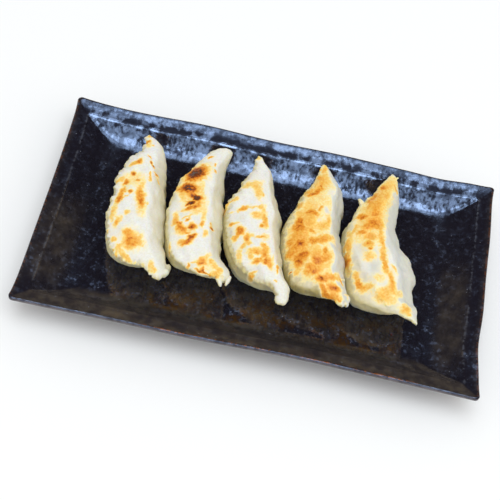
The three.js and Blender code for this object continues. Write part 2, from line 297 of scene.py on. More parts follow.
# Browned marks on each fried face, as the pan left them:
# (x, y, half length, half width, turn in degrees, heat from 0 to 1).
SPOTS = (
    (
        (-74, 43.5, 1.2, 1, 0, 0.5),
        (-75, 39, 1.5, 1, 15, 0.65), (-73, 36.5, 1.5, 1, -75, 0.3), (-71, 36, 0.5, 0.5, 0, 0.35),
        (-75, 22.5, 1.5, 1, 60, 0.65), (-77.5, 20, 2, 1, 30, 0.45), (-76, 13, 1, 1, 0, 0.75),
        (-78.5, 7, 1.5, 1, 45, 0.7), (-82, 8.5, 2, 1, 30, 0.4), (-84, 7.5, 1.5, 0.5, 60, 0.35),
        (-73, 9, 1, 0.5, 15, 0.65), (-75, 1.5, 1, 1, 0, 0.65), (-75, 9.5, 5, 3.5, 15, 0.2),
        (-79.5, -1.5, 4, 1, 75, 0.6), (-79.5, -4, 2, 1, 75, 0.7), (-76.5, -2, 1, 0.5, 30, 0.4),
        (-80.5, -12, 4, 1, 90, 0.35), (-70, 6, 2.5, 1, 90, 0.35), (-69, -1, 4.5, 1.5, -75, 0.6),
        (-68, -3.5, 2, 1, -75, 0.7), (-70, 1, 1.5, 0.5, -75, 0.6), (-66.5, -7, 1, 0.5, -75, 0.45),
        (-65, -3.5, 1, 0.5, -75, 0.3), (-67, -8, 3.5, 2, -75, 0.22), (-73.5, -11.5, 1, 1, 0, 0.4),
        (-77.5, -18, 2, 1, 90, 0.5), (-76, -15.5, 1.5, 0.5, 90, 0.3), (-81, -24, 1, 0.5, 90, 0.45),
        (-76.5, -27.5, 1, 1, 0, 0.4), (-70, -23.5, 2, 2, 0, 0.55), (-67, -27, 3.5, 3, 15, 0.55),
        (-68.5, -26, 1.5, 0.5, 0, 0.7), (-65.5, -29, 1.5, 0.5, -30, 0.6), (-69, -28, 1, 0.5, 90, 0.6),
        (-61.5, -28.5, 0.5, 0.5, 0, 0.3), (-73, -31.5, 2, 1, 60, 0.4), (-75.5, -33.5, 0.5, 0.5, 0, 0.35),
        (-73, -35.5, 1.5, 0.5, -75, 0.45), (-70.5, -34, 3.5, 1, -45, 0.35), (-67.5, -36.5, 2.5, 1, -30, 0.4),
        (-72, -38.5, 1, 0.5, -45, 0.55), (-63, -37.5, 0.5, 0.5, 0, 0.3), (-59.5, -38, 1, 1, 0, 0.3),
        (-54.5, -38, 2, 1, 90, 0.35), (-52.5, -39.5, 1, 1, 0, 0.35), (-70.5, 27, 1, 0.3, -60, 0.7),
        (-68.5, 23, 1, 0.4, -60, 0.85), (-67, 20.5, 1, 0.4, -45, 0.85), (-64.5, 17, 1, 0.5, 0, 0.6),
        (-62.5, 14.5, 1.5, 0.4, -30, 0.45), (-67, 14.5, 1, 0.4, -75, 0.6), (-67, 12, 1, 0.5, -75, 0.45),
    ),
    (
        (-44, 22.5, 5, 3.5, 60, 0.91), (-45, 22.5, 1.5, 1, 30, 0.98), (-46, 11.5, 4, 2.5, 0, 0.82),
        (-47, 12.5, 2.5, 0.5, 15, 0.85), (-42.5, 11.5, 1, 1, 0, 0.8), (-45.5, 10.5, 1.5, 0.5, 0, 0.95),
        (-48, 14.5, 0.5, 0.5, 0, 0.7), (-41.5, 7, 3, 1.5, -15, 0.82), (-40.5, 6, 1.5, 1.5, 0, 0.85),
        (-38.5, 4.5, 3, 1, 90, 0.6), (-44, 7, 1.5, 1, 15, 0.5), (-44.5, 1, 1, 0.5, 30, 0.8),
        (-43.5, 3.5, 1.5, 0.5, 15, 0.75), (-41.5, 3, 0.5, 0.5, 0, 0.7), (-42.5, 2.5, 1.5, 1, 15, 0.95),
        (-41.5, -0.5, 3.5, 1, 30, 0.7), (-40, 1, 1, 1, 0, 0.7), (-48, 7, 3, 1.5, -75, 0.35),
        (-41, 3.5, 4.5, 4, 0, 0.28), (-37.5, 6.5, 3, 1, 90, 0.3), (-39.5, 13.5, 3, 1.5, 90, 0.25),
        (-38, -1.5, 3, 1.5, 45, 0.3), (-34.5, -3.5, 3, 1, 90, 0.3), (-49, -8, 3, 1, 90, 0.4),
        (-46.5, -11.5, 1.5, 1, 0, 0.65), (-48, -10, 2, 1, 90, 0.5), (-46.5, -13.5, 1, 1, 0, 0.5),
        (-43, -6.5, 2, 0.4, 30, 0.35), (-41.5, -7, 1, 0.3, 90, 0.4), (-42, -8.5, 1, 0.5, 30, 0.6),
        (-44, -14, 2, 1.5, -15, 0.65), (-41, -16, 1.5, 0.5, 30, 0.55), (-43, -16, 2.5, 1, 15, 0.4),
        (-39, -12, 1.5, 1.5, 0, 0.8), (-34.5, -9, 1.5, 1, 90, 0.55), (-31.5, -14.5, 1.5, 1, 90, 0.4),
        (-38, -17.5, 2, 1, 30, 0.75), (-38.5, -19.5, 2.5, 1, 45, 0.75), (-40.5, -21.5, 2, 1, 45, 0.7),
        (-42.5, -21.5, 1.5, 1, 30, 0.45), (-29.5, -9, 1, 0.5, 15, 0.85), (-30, -7.5, 1, 0.4, 90, 0.45),
        (-48, -24.5, 1.5, 0.5, -75, 0.4), (-34, -30.5, 1, 0.5, 30, 0.35), (-30, -29.5, 2, 1.5, 15, 0.55),
        (-30, -30.5, 1.5, 0.5, 15, 0.7), (-28, -26.5, 2, 1, 60, 0.3), (-36.5, -33, 1, 0.5, 90, 0.65),
        (-30, -34, 1.5, 0.5, 0, 0.8), (-28.5, -32.5, 1, 0.5, 90, 0.7), (-27.5, -34, 2, 0.4, -30, 0.75),
        (-24.5, -35.5, 1, 0.5, 90, 0.65), (-25, -28, 1, 1, 0, 0.45), (-22.5, -30, 2, 1, -45, 0.4),
        (-20, -31.5, 1.5, 1, 45, 0.4), (-21.5, -34.5, 2, 1.5, 15, 0.45), (-25, -30, 3, 2.5, 15, 0.2),
        (-38.5, 37, 1, 0.5, 30, 0.6), (-35.5, 32, 1, 0.4, -75, 0.5), (-34.5, 27, 1, 0.4, -60, 0.55),
    ),
    (
        (-13.5, 44.5, 1, 1, 0, 0.35), (-14, 23.5, 4, 1.5, 30, 0.35), (-9.5, 20, 4, 1.5, -75, 0.35),
        (-11.5, 22, 1.5, 1.5, 0, 0.4), (-7, 17.5, 1, 0.5, -75, 0.45), (-20.5, 12.5, 1.5, 1, 30, 0.35),
        (-25, 8.5, 2, 1, 90, 0.45), (-23.5, 10.5, 2, 0.5, 45, 0.45), (-21.5, 4, 1, 0.5, 15, 0.3),
        (-15.5, 6.5, 2, 1, 30, 0.6), (-10, 8.5, 2.5, 0.5, 15, 0.3), (-6.5, 9.5, 1.5, 1, 15, 0.4),
        (-5, 7.5, 2.5, 1, 90, 0.35), (-7.5, 4, 2, 1.5, 0, 0.4), (-3, 2, 3.5, 1, -75, 0.5),
        (-4, -2, 1, 1, 0, 0.65), (-19.5, -3.5, 1, 1, 0, 0.55), (-17.5, -2.5, 1.5, 0.5, 15, 0.3),
        (-14.5, -7, 2, 1.5, -75, 0.7), (-16, -11, 2, 1, 60, 0.5), (-10, -11, 2, 1, -75, 0.55),
        (-9.5, -11.5, 1, 1, 0, 0.6), (-8.5, -9, 1, 1, 0, 0.3), (-8.5, -14, 1, 1, 0, 0.4),
        (-11, -15.5, 1.5, 1, 75, 0.4), (-3, -9, 2, 0.5, 30, 0.6), (-5, -9.5, 1, 0.5, 30, 0.4),
        (-1, -8.5, 1.5, 1.5, 0, 0.25), (-12, -21, 3, 1, -75, 0.3), (-1, -13.5, 1, 1, 0, 0.5),
        (-4.5, -18, 3, 1.5, 15, 0.45), (-3.5, -18.5, 1, 1, 0, 0.55), (-6, -21.5, 1, 1, 0, 0.45),
        (0.5, -17.5, 3, 1.5, 90, 0.5), (1, -19, 1, 1, 0, 0.6), (-2.5, -23, 2, 1, 30, 0.6),
        (2.5, -22, 2, 1.5, -15, 0.55), (1.5, -22.5, 1, 1, 0, 0.65), (4.5, -24, 1.5, 1, -60, 0.55),
        (5, -19.5, 1.5, 0.5, 90, 0.3), (8.5, -24.5, 1.5, 0.5, 90, 0.6), (-3.5, -29, 1.5, 0.5, 30, 0.4),
        (-4, -31, 1, 1, 0, 0.55), (-3.5, -32.5, 1, 0.5, -15, 0.5), (9, -31.5, 0.5, 0.5, 0, 0.45),
    ),
    (
        (22, 34, 7, 3, 75, 0.33), (19, 8, 8, 3, 90, 0.33),
        (17, -8, 9, 4, -75, 0.42), (27, -14, 6, 3, -60, 0.35),
        (23.5, 46, 2.5, 1, 90, 0.4), (21, 45.5, 0.5, 0.5, 0, 0.65), (21.5, 39, 2, 1, 90, 0.5),
        (23, 37, 3, 1, 90, 0.3), (23, 32, 1.5, 0.5, 90, 0.6), (21.5, 27, 2.5, 1, 60, 0.6),
        (19, 24.5, 2, 1, 30, 0.65), (17, 26.5, 2.5, 1.5, 60, 0.45), (15, 27.5, 1.5, 1, 60, 0.4),
        (13, 17, 2, 1.5, 75, 0.45), (14.5, 11, 2, 1.5, 0, 0.35), (19, 12.5, 1.5, 1, 30, 0.6),
        (22, 12, 2, 1, -15, 0.55), (24.5, 15.5, 1.5, 0.5, 60, 0.45), (15.5, 7, 1.5, 1.5, 0, 0.65),
        (15, 4.5, 2.5, 1.5, -75, 0.6), (15.5, 2, 2, 2, 0, 0.65), (13, 2, 2, 1, 90, 0.45),
        (18, 0, 1, 1, 0, 0.4), (26.5, 5.5, 2, 1.5, 15, 0.35), (22, 0.5, 1.5, 1, -15, 0.55),
        (30, 9, 3, 1, 90, 0.35), (13, -6, 3, 1.5, 60, 0.5), (12, -7.5, 2, 1, 90, 0.5),
        (14.5, -2.5, 2.5, 1, 75, 0.4), (17.5, -7.5, 2, 2, 0, 0.65), (17.5, -8.5, 1, 1, 0, 0.75),
        (15, -10, 2.5, 2, -75, 0.55), (13.5, -13.5, 2, 1.5, 90, 0.55), (19.5, -14, 2.5, 1.5, 15, 0.6),
        (19, -13.5, 1, 1, 0, 0.7), (21.5, -13.5, 1.5, 1.5, 0, 0.55), (18.5, -17.5, 3, 2, -75, 0.6),
        (18.5, -17.5, 1, 1, 0, 0.75), (23.5, -5.5, 2, 1.5, 30, 0.6), (29, -3, 4, 1.5, 30, 0.5),
        (34, -1.5, 2, 1.5, -75, 0.25), (30.5, -10, 2, 1, 90, 0.6), (29.5, -14.5, 2.5, 1, 30, 0.5),
        (27, -16, 2, 1.5, 15, 0.6), (29, -17, 2.5, 1, 30, 0.55), (32.5, -13, 2.5, 1.5, 90, 0.4),
        (26, -13, 2, 1.5, 15, 0.4), (26.5, -21.5, 3, 2, 15, 0.5), (26.5, -22.5, 1, 1, 0, 0.65),
        (24, -20, 1.5, 1, 15, 0.5), (18.5, -23.5, 1, 1, 0, 0.4), (15.5, -23, 0.5, 0.5, 0, 0.8),
        (31.5, -25, 2.5, 1.5, 15, 0.6), (31.5, -25.5, 1, 1, 0, 0.75), (34.5, -23, 1.5, 1.5, 0, 0.45),
        (37.5, -23, 2, 1, 15, 0.5), (42, -22.5, 1.5, 0.5, -30, 0.65), (39.5, -21, 1.5, 1.5, 0, 0.35),
        (38.5, -28, 2.5, 1.5, 0, 0.6), (39, -27.5, 1, 1, 0, 0.7), (34.5, -30.5, 3.5, 1, -45, 0.6),
        (37, -32, 2.5, 1, -30, 0.6), (39.5, -32.5, 2.5, 1.5, -45, 0.5), (42, -34, 1, 0.5, -30, 0.55),
        (46, -29.5, 1, 0.5, 15, 0.3),
    ),
    (
        (59.5, 43, 7, 3, 60, 0.32), (56, 32, 8, 4.5, 75, 0.36),
        (53, 19, 8, 5.5, 90, 0.36), (50, 8, 5, 4, 90, 0.25),
        (57, 41.5, 2, 1.5, 15, 0.55), (56.5, 41, 1, 1, 0, 0.65), (53.5, 44.5, 1.5, 0.5, 60, 0.25),
        (61, 50, 2, 1, 15, 0.25), (63.5, 43.5, 2, 0.5, -60, 0.6), (51.5, 32.5, 3.5, 1, 60, 0.6),
        (50, 30, 2, 0.5, 45, 0.65), (53, 35.5, 1.5, 0.5, 60, 0.5), (55.5, 34.5, 3, 1, 75, 0.4),
        (50.5, 27, 3, 1, 75, 0.5), (59, 34, 2.5, 1, 90, 0.3), (54, 25.5, 4.5, 2, 90, 0.5),
        (54, 20.5, 2.5, 2, 15, 0.52), (54, 19.5, 1, 1, 0, 0.6), (47.5, 17.5, 2, 1.5, 15, 0.6),
        (47.5, 17, 1, 1, 0, 0.7), (54, 15, 3.5, 2.5, 15, 0.52), (53.5, 14.5, 2, 1.5, 15, 0.6),
        (56, 13, 2.5, 2, 15, 0.52), (51, 11.5, 3, 1.5, 15, 0.55), (48.5, 7.5, 2, 1, 30, 0.6),
        (45, 9.5, 2.5, 1, 75, 0.4), (53, 5.5, 2.5, 2, 15, 0.45), (58, 7.5, 3, 1, 90, 0.4),
        (59.5, 4, 2.5, 1, 90, 0.5), (43, -1, 3.5, 1, -75, 0.45), (43.5, -8, 3, 1, -75, 0.55),
        (43.5, -9, 1, 1, 0, 0.65), (42.5, 5.5, 3, 1, -75, 0.35), (45, -13, 2.5, 1.5, 90, 0.3),
        (52.5, 0.5, 2, 1.5, 0, 0.5), (52, 1, 1, 1, 0, 0.6), (53.5, -2, 1, 0.5, 0, 0.65),
        (54, -6.5, 2, 2, 0, 0.3), (60.5, 0, 2.5, 1, -75, 0.4), (61, -5, 3, 1, -75, 0.45),
        (62.5, -10, 2, 1, -60, 0.55), (63.5, -13, 2.5, 1, -60, 0.45), (67, -18, 3, 1, -75, 0.5),
        (68, -21.5, 3, 1.5, -75, 0.45), (68.5, -23, 0.5, 0.5, 0, 0.55), (67.5, -11, 2, 0.5, -45, 0.35),
        (49.5, -18, 2.5, 1, -60, 0.45), (51, -21, 2, 1, -60, 0.6), (52.5, -23, 2, 1, -30, 0.5),
        (54.5, -23.5, 2.5, 1.5, 30, 0.4), (60.5, -18, 2, 1.5, 0, 0.2), (66, -24, 2.5, 2, 15, 0.35),
        (64.5, -27, 3.5, 2, 0, 0.35), (72, -23.5, 2.5, 1.5, 15, 0.3), (67.5, -28, 3, 1.5, 15, 0.25),
        (77, -31, 2, 2, 0, 0.4), (77.5, -30.5, 1, 1, 0, 0.45), (79, -33, 1, 0.5, 0, 0.45),
        (76, -28.5, 1.5, 1, 15, 0.3), (45, 25, 1.5, 1, -75, 0.2),
    ),
)


# ------------------------------------------------------------------ number helpers
SEED_STEPS = (17.3, 5.1, 9.7)  # how far the next seed's noise lies from the last one's


def smooth(value, low, high):
    """0 below low, 1 above high, and an S-curve between."""
    t = np.clip((np.asarray(value, float) - low) / (high - low), 0, 1)
    return t * t * (3 - 2 * t)


def lerp(a, b, t):
    return a + (b - a) * t


def hump(value, place, width):
    """1 where the value is at the place, and less the further off it is, over about the width."""
    return np.exp(-(((value - place) / width) ** 2))


def along(values, station):
    """A smooth curve through values given at the uneven STATIONS."""
    values = np.asarray(values, float)
    last = len(STATIONS) - 1
    before = np.maximum(np.arange(last + 1) - 1, 0)
    after = np.minimum(np.arange(last + 1) + 1, last)
    slope = (values[after] - values[before]) / (STATIONS[after] - STATIONS[before])
    i = np.clip(np.searchsorted(STATIONS, station, side="right") - 1, 0, last - 1)
    step = STATIONS[i + 1] - STATIONS[i]
    t = (station - STATIONS[i]) / step
    start = values[i] * (1 + 2 * t) * (1 - t) ** 2 + step * slope[i] * t * (1 - t) ** 2
    return start + values[i + 1] * t * t * (3 - 2 * t) + step * slope[i + 1] * t * t * (t - 1)


def closed_curve(points, steps):
    """A Catmull-Rom ring through points (rows, n, 2), with steps places round it."""
    count = points.shape[1]
    u = np.arange(steps) * count / steps
    i = u.astype(int)
    t = (u - i)[None, :, None]
    a, b, c, d = (points[:, (i + k) % count] for k in (-1, 0, 1, 2))
    square, cube = 2 * a - 5 * b + 4 * c - d, 3 * b - a - 3 * c + d
    return 0.5 * (2 * b + (c - a) * t + square * t**2 + cube * t**3)


def clouds(points, size, octaves=3, seed=0.0):
    """Smooth noise from about -1 to 1 at points in mm, with blobs of about the given size."""
    shift = Vector([seed * step for step in SEED_STEPS])
    flat = np.asarray(points, float).reshape(-1, 3) / size
    made = [noise.fractal(Vector(p) + shift, 1.0, 2.0, octaves) for p in flat.tolist()]
    return np.array(made).reshape(np.shape(points)[:-1])


def grid_mesh(name, points, fields=None):
    """A closed mesh from rings of points in mm, with one point attribute for each field."""
    rows, count = points.shape[:2]
    ring = np.arange(count)
    after = (ring + 1) % count
    vertices = np.concatenate([points.reshape(-1, 3), points[:1].mean(1), points[-1:].mean(1)])
    starts = [row * count for row in range(rows - 1)]
    faces = [np.stack([ring, after, after + count, ring + count], 1) + start for start in starts]
    faces = np.concatenate(faces).tolist()
    first, last = rows * count, (rows - 1) * count
    faces += [(int(b), int(a), first) for a, b in zip(ring, after)]
    faces += [(last + int(a), last + int(b), first + 1) for a, b in zip(ring, after)]
    mesh = bpy.data.meshes.new(name)
    mesh.from_pydata((vertices * MM).tolist(), [], faces)
    for key, field in (fields or {}).items():
        ends = [field[0].mean(), field[-1].mean()]
        add_field(mesh, key, np.concatenate([field.reshape(-1), ends]))
    return finished_object(mesh)


def add_field(mesh, name, values):
    """Gives each point of the mesh a number that the material can read."""
    attribute = mesh.attributes.new(name, "FLOAT", "POINT")
    attribute.data.foreach_set("value", np.asarray(values, np.float32))


def finished_object(mesh):
    """A smooth-shaded object of the mesh, in the scene."""
    mesh.polygons.foreach_set("use_smooth", np.ones(len(mesh.polygons), bool))
    mesh.update()
    piece = bpy.data.objects.new(mesh.name, mesh)
    bpy.context.scene.collection.objects.link(piece)
    return piece


def lump_mesh(x, y, z, length, width, height, turn):
    """A rounded lump of dough: its centre, half sizes, and turn seen from above in degrees."""
    body = bmesh.new()
    bmesh.ops.create_icosphere(body, subdivisions=3, radius=MM)
    shape = Matrix.Rotation(math.radians(turn), 4, "Z") @ Matrix.Diagonal((length, width, height, 1))
    bmesh.ops.transform(body, matrix=Matrix.Translation(Vector((x, y, z)) * MM) @ shape, verts=body.verts)
    return body


def join_dough(piece, lumps, voxel):
    """Joins the lumps to the piece as one skin with even faces, and returns the new mesh."""
    whole = bmesh.new()
    whole.from_mesh(piece.data)
    for lump in lumps:
        body = lump_mesh(*lump)
        part = bpy.data.meshes.new("lump")
        body.to_mesh(part)
        body.free()
        whole.from_mesh(part)
        bpy.data.meshes.remove(part)
    whole.to_mesh(piece.data)
    whole.free()
    remesh = piece.modifiers.new("one_skin", "REMESH")
    remesh.mode = "VOXEL"
    remesh.voxel_size = voxel * MM
    soften = piece.modifiers.new("soften", "SMOOTH")
    soften.factor = SOFTENING
    soften.iterations = SOFTENING_ROUNDS
    evaluated = piece.evaluated_get(bpy.context.evaluated_depsgraph_get())
    mesh = bpy.data.meshes.new_from_object(evaluated)
    name, old = piece.name, piece.data
    bpy.data.objects.remove(piece)
    bpy.data.meshes.remove(old)
    mesh.name = name
    return mesh


def points_and_normals(mesh):
    """The mesh's points in mm, and its directions outwards there."""
    points = np.empty(len(mesh.vertices) * 3)
    normals = np.empty(len(mesh.vertices) * 3)
    mesh.vertices.foreach_get("co", points)
    mesh.vertices.foreach_get("normal", normals)
    return points.reshape(-1, 3) / MM, normals.reshape(-1, 3)


def move_points(mesh, points):
    """Moves the mesh's points to the given places in mm."""
    mesh.vertices.foreach_set("co", (points * MM).reshape(-1))


# ------------------------------------------------------------------ shader helpers
class Shader:
    """Builds a node material, one short call for each node."""

    def __init__(self, name):
        self.material = bpy.data.materials.new(name)
        self.material.use_nodes = True
        self.nodes = self.material.node_tree.nodes
        self.links = self.material.node_tree.links
        self.surface = self.nodes["Principled BSDF"]

    def put(self, socket, value):
        """Links another node's output to the socket, or gives it a number or colour."""
        if isinstance(value, bpy.types.NodeSocket):
            self.links.new(value, socket)
        elif socket.type == "RGBA" and len(value) == 3:
            socket.default_value = (*value, 1)
        else:
            socket.default_value = value

    def set(self, **inputs):
        """Sets inputs of the surface, such as Base_Color."""
        for key, value in inputs.items():
            self.put(self.surface.inputs[key.replace("_", " ")], value)

    def node(self, kind, inputs=None, **settings):
        made = self.nodes.new("ShaderNode" + kind)
        for key, value in settings.items():
            setattr(made, key, value)
        for key, value in (inputs or {}).items():
            self.put(made.inputs[key], value)
        return made

    def field(self, name):
        """A number that the mesh holds for each of its points."""
        return self.node("Attribute", attribute_name=name).outputs["Fac"]

    def place(self, stretch=(1, 1, 1)):
        """Position on the object in mm, stretched along its axes."""
        where = self.node("TexCoord").outputs["Object"]
        scale = [1 / (MM * part) for part in stretch]
        return self.node("Mapping", {"Vector": where, "Scale": scale}).outputs["Vector"]

    def clouds(self, size, where, detail=3.0, roughness=0.55):
        made = self.node(
            "TexNoise", {"Vector": where, "Scale": 1 / size, "Detail": detail, "Roughness": roughness}
        )
        return made.outputs["Fac"]

    def dots(self, size, where):
        made = self.node("TexVoronoi", {"Vector": where, "Scale": 1 / size})
        return made.outputs["Distance"]

    def ramp(self, value, low, high, start=0.0, end=1.0):
        """From start, where the value is low, to end, where it is high, along an S-curve."""
        made = self.node(
            "MapRange",
            {"Value": value, "From Min": low, "From Max": high, "To Min": start, "To Max": end},
            interpolation_type="SMOOTHSTEP",
        )
        return made.outputs["Result"]

    def sum(self, a, b, operation="ADD"):
        made = self.node("Math", operation=operation)
        self.put(made.inputs[0], a)
        self.put(made.inputs[1], b)
        return made.outputs["Value"]

    def times(self, a, b):
        return self.sum(a, b, "MULTIPLY")

    def average(self, a, b, share=0.5):
        """A blend that takes the share from a and the rest from b."""
        return self.sum(self.times(a, share), self.times(b, 1 - share))

    def less(self, a, b):
        return self.sum(a, b, "SUBTRACT")

    def mix(self, share, a, b):
        made = self.node("Mix", data_type="RGBA")
        self.put(made.inputs[0], share)
        self.put(made.inputs[6], a)
        self.put(made.inputs[7], b)
        return made.outputs[2]

    def colours(self, value, stops):
        """The colour for a value, between stops of (value, colour)."""
        made = self.node("ValToRGB", {"Fac": value})
        ramp = made.color_ramp
        while len(ramp.elements) < len(stops):
            ramp.elements.new(0.5)
        for element, (place, colour) in zip(ramp.elements, stops):
            element.position = place
            element.color = (*colour, 1)
        return made.outputs["Color"]

    def bump(self, height, strength, distance):
        """Adds a fine relief to the surface, on top of the ones before, with its depth in mm."""
        inputs = {"Height": height, "Strength": strength, "Distance": distance * MM}
        if self.surface.inputs["Normal"].is_linked:
            inputs["Normal"] = self.surface.inputs["Normal"].links[0].from_socket
        self.set(Normal=self.node("Bump", inputs).outputs["Normal"])


def colour_property(name, description, default):
    return FloatVectorProperty(
        name=name, description=description, default=default, size=3, min=0, max=1, subtype="COLOR"
    )


def length_property(name, description, default, least=0.0):
    return FloatProperty(
        name=name, description=description + ", in metres", default=default, min=least, unit="LENGTH"
    )


def brightness_property(name, description, default):
    return FloatProperty(name=name, description=description, default=default, min=0)


# ------------------------------------------------------------------ settings
class PlateSettings(bpy.types.PropertyGroup):
    glaze: colour_property("Glaze", "Colour of the blue-black glaze", (0.017, 0.0152, 0.025))
    cloud: colour_property("Cloud", "Colour of the blue clouds in the glaze", (0.04, 0.047, 0.08))
    haze: colour_property("Haze", "Colour of the brown haze where the glaze is thin", (0.11, 0.088, 0.068))
    # Painted reflection: the orange-brown that the glaze before the gyoza would mirror from them.
    reflection_amber: colour_property("Amber", "Colour of the amber pools in the glaze", (0.085, 0.038, 0.006))
    speck: colour_property("Speck", "Colour of the pale specks in the glaze", (0.3, 0.33, 0.4))
    body: colour_property("Clay", "Colour of the clay showing through on worn edges", (0.62, 0.2, 0.04))
    around: IntProperty(name="Steps Around", description="Mesh steps round the plate", default=520, min=64)
    ripple: length_property("Ripple", "Depth of the uneven glaze surface", 0.00012)


class GyozaSettings(bpy.types.PropertyGroup):
    floury: colour_property("Floury Dough", "Colour of the dry top of the dough", (0.83, 0.825, 0.79))
    dusty: colour_property("Dusty Dough", "Colour of the fine flecks in the dry top", (0.76, 0.74, 0.66))
    cream: colour_property("Creamy Dough", "Colour of the steamed sides", (0.74, 0.65, 0.36))
    # Partly painted shade: this darker olive goes on the smooth side's lower belly, between neighbours, as
    # well as where oil has soaked in.
    oil_and_shade: colour_property("Oiled Dough", "Colour of the sides where oil has soaked in", (0.44, 0.35, 0.12))
    # Partly painted shade: this grey goes over the pleated side as a whole, as well as where the filling
    # shows through.
    glassy_and_shade: colour_property("Glassy Dough", "Colour of dough that lets the filling show", (0.62, 0.62, 0.56))
    straw: colour_property("Straw", "Colour of the palest fried dough", (0.93, 0.77, 0.38))
    golden: colour_property("Golden", "Colour of lightly fried dough", (0.92, 0.58, 0.14))
    orange: colour_property("Orange", "Colour of well fried dough", (0.84, 0.36, 0.035))
    russet: colour_property("Russet", "Colour of crisp fried dough", (0.65, 0.19, 0.012))
    brown: colour_property("Brown", "Colour of dark fried dough", (0.34, 0.075, 0.007))
    char: colour_property("Char", "Colour of burnt dough", (0.08, 0.024, 0.01))
    ash: colour_property("Ash", "Colour of the ashy skin on the burnt dough", (0.11, 0.09, 0.078))
    along: IntProperty(name="Steps Along", description="Mesh steps from end to end", default=150, min=24)
    around: IntProperty(name="Steps Around", description="Mesh steps round a section", default=136, min=24)
    skin: length_property("Skin Detail", "Size of the faces of the skin", 0.00042, least=0.0002)
    lumps: length_property("Lumps", "Height of the lumps under the skin", 0.0005)


class StageSettings(bpy.types.PropertyGroup):
    floor: colour_property("Floor", "Colour of the pale floor", (0.93, 0.93, 0.93))
    room: colour_property("Room", "Colour and brightness of the light from all round", (0.65, 0.65, 0.65))
    sky: colour_property("Sky", "Colour of the light from above", (0.9, 0.96, 1.0))
    cool: colour_property("Cool Light", "Colour of the window that shows in the glaze", (0.33, 0.58, 1.0))
    warm: colour_property("Warm Light", "Colour of the lamps", (1.0, 0.86, 0.66))
    fair: colour_property("Fair Light", "Colour of the lamp on the right", (1.0, 0.92, 0.8))
    skylight: brightness_property("Skylight", "Brightness of the light from above", 2.6)
    window: brightness_property("Window", "Brightness of the window that shows in the glaze", 15)
    lamp: brightness_property("Lamp", "Brightness of the lamps", 2.8)
    lens: FloatProperty(name="Lens", description="Focal length of the camera", default=75.6, unit="CAMERA")


# ------------------------------------------------------------------ plate
def plate_profile():
    """[inset from the rim, height, corner radius, further inset on the short sides] of the
    plate's skin, from under the middle, round the rim, to the floor's middle."""
    middle = PLATE_WIDTH / 2
    band_height = RIM_HEIGHT - BAND_DROP
    further = SIDE_WALL_RUN - WALL_RUN
    foot_inner = FOOT_INSET + FOOT_WIDTH
    foot_ring = (
        (foot_inner + 2 * FOOT_ROUND, FOOT_HEIGHT),
        (foot_inner + FOOT_ROUND / 2, FOOT_ROUND),
        (foot_inner - FOOT_ROUND, 0),
        (FOOT_INSET + FOOT_ROUND, 0),
        (FOOT_INSET - FOOT_ROUND / 2, FOOT_ROUND),
        (FOOT_INSET - 2 * FOOT_ROUND, FOOT_HEIGHT),
    )
    points = [(middle, FOOT_HEIGHT, 0)]
    points += [(*place, radius) for place, radius in zip(foot_ring, FOOT_CORNER_RADII)]
    points += UNDERSIDE
    points += [(*place, CORNER_RADIUS) for place in LIP]
    points += [(BAND_INNER - out, band_height + above, BAND_CORNER_RADIUS) for out, above in GROOVE]
    points = [(*point, 0) for point in points]
    for share in np.linspace(0, 1, WALL_STEPS):
        fall = 1 - (1 - share) ** WALL_EASE
        inset = BAND_INNER + FACET_WIDTH + share * WALL_RUN
        height = lerp(band_height - FACET_DROP, FLOOR_HEIGHT + WALL_FOOT_RISE, fall)
        radius = lerp(FACET_CORNER_RADIUS, FLOOR_CORNER_RADIUS, share**2)
        points.append((inset, height, radius, share * further))
    points.append((middle - FLAT_HALF_WIDTH, FLOOR_HEIGHT, FLAT_CORNER_RADIUS, further))
    points.append((middle, FLOOR_HEIGHT, 0, further))
    return np.array(points, float)


def refine(profile, pitch):
    """The profile with more points, at most pitch apart."""
    made = [profile[:1]]
    for a, b in zip(profile[:-1], profile[1:]):
        steps = max(int(np.ceil(np.hypot(*(b - a)[:2]) / pitch)), 1)
        made.append(lerp(a, b, (np.arange(1, steps + 1) / steps)[:, None]))
    return np.concatenate(made)


def plate_stations(count):
    """Core place as a share of the half sizes and outward angle, evenly round the plate."""
    corners = ((1, 1), (-1, 1), (-1, -1), (1, -1))
    sides = (count - 4 * CORNER_STEPS) / 2
    long_steps = int(sides * PLATE_LENGTH / (PLATE_LENGTH + PLATE_WIDTH))
    short_steps = int(sides - long_steps)
    made = []
    for corner, (x, y) in enumerate(corners):
        for i in range(CORNER_STEPS + 1):
            made.append((x, y, (corner + i / CORNER_STEPS) * math.pi / 2))
        next_x, next_y = corners[(corner + 1) % 4]
        steps = long_steps if x != next_x else short_steps
        for i in range(1, steps):
            share = i / steps
            made.append((lerp(x, next_x, share), lerp(y, next_y, share), (corner + 1) * math.pi / 2))
    return np.array(made)


def swell(x, y, out_x, out_y):
    """How far the hand-pressed rim is pushed out."""
    total = np.zeros(np.broadcast(x, out_x).shape)
    for side, at, out, spread in SWELLS:
        facing = np.maximum(side[0] * out_x + side[1] * out_y, 0)
        distance = (y if side[0] else x) - at
        total = total + out * facing * hump(distance, 0, spread)
    return total


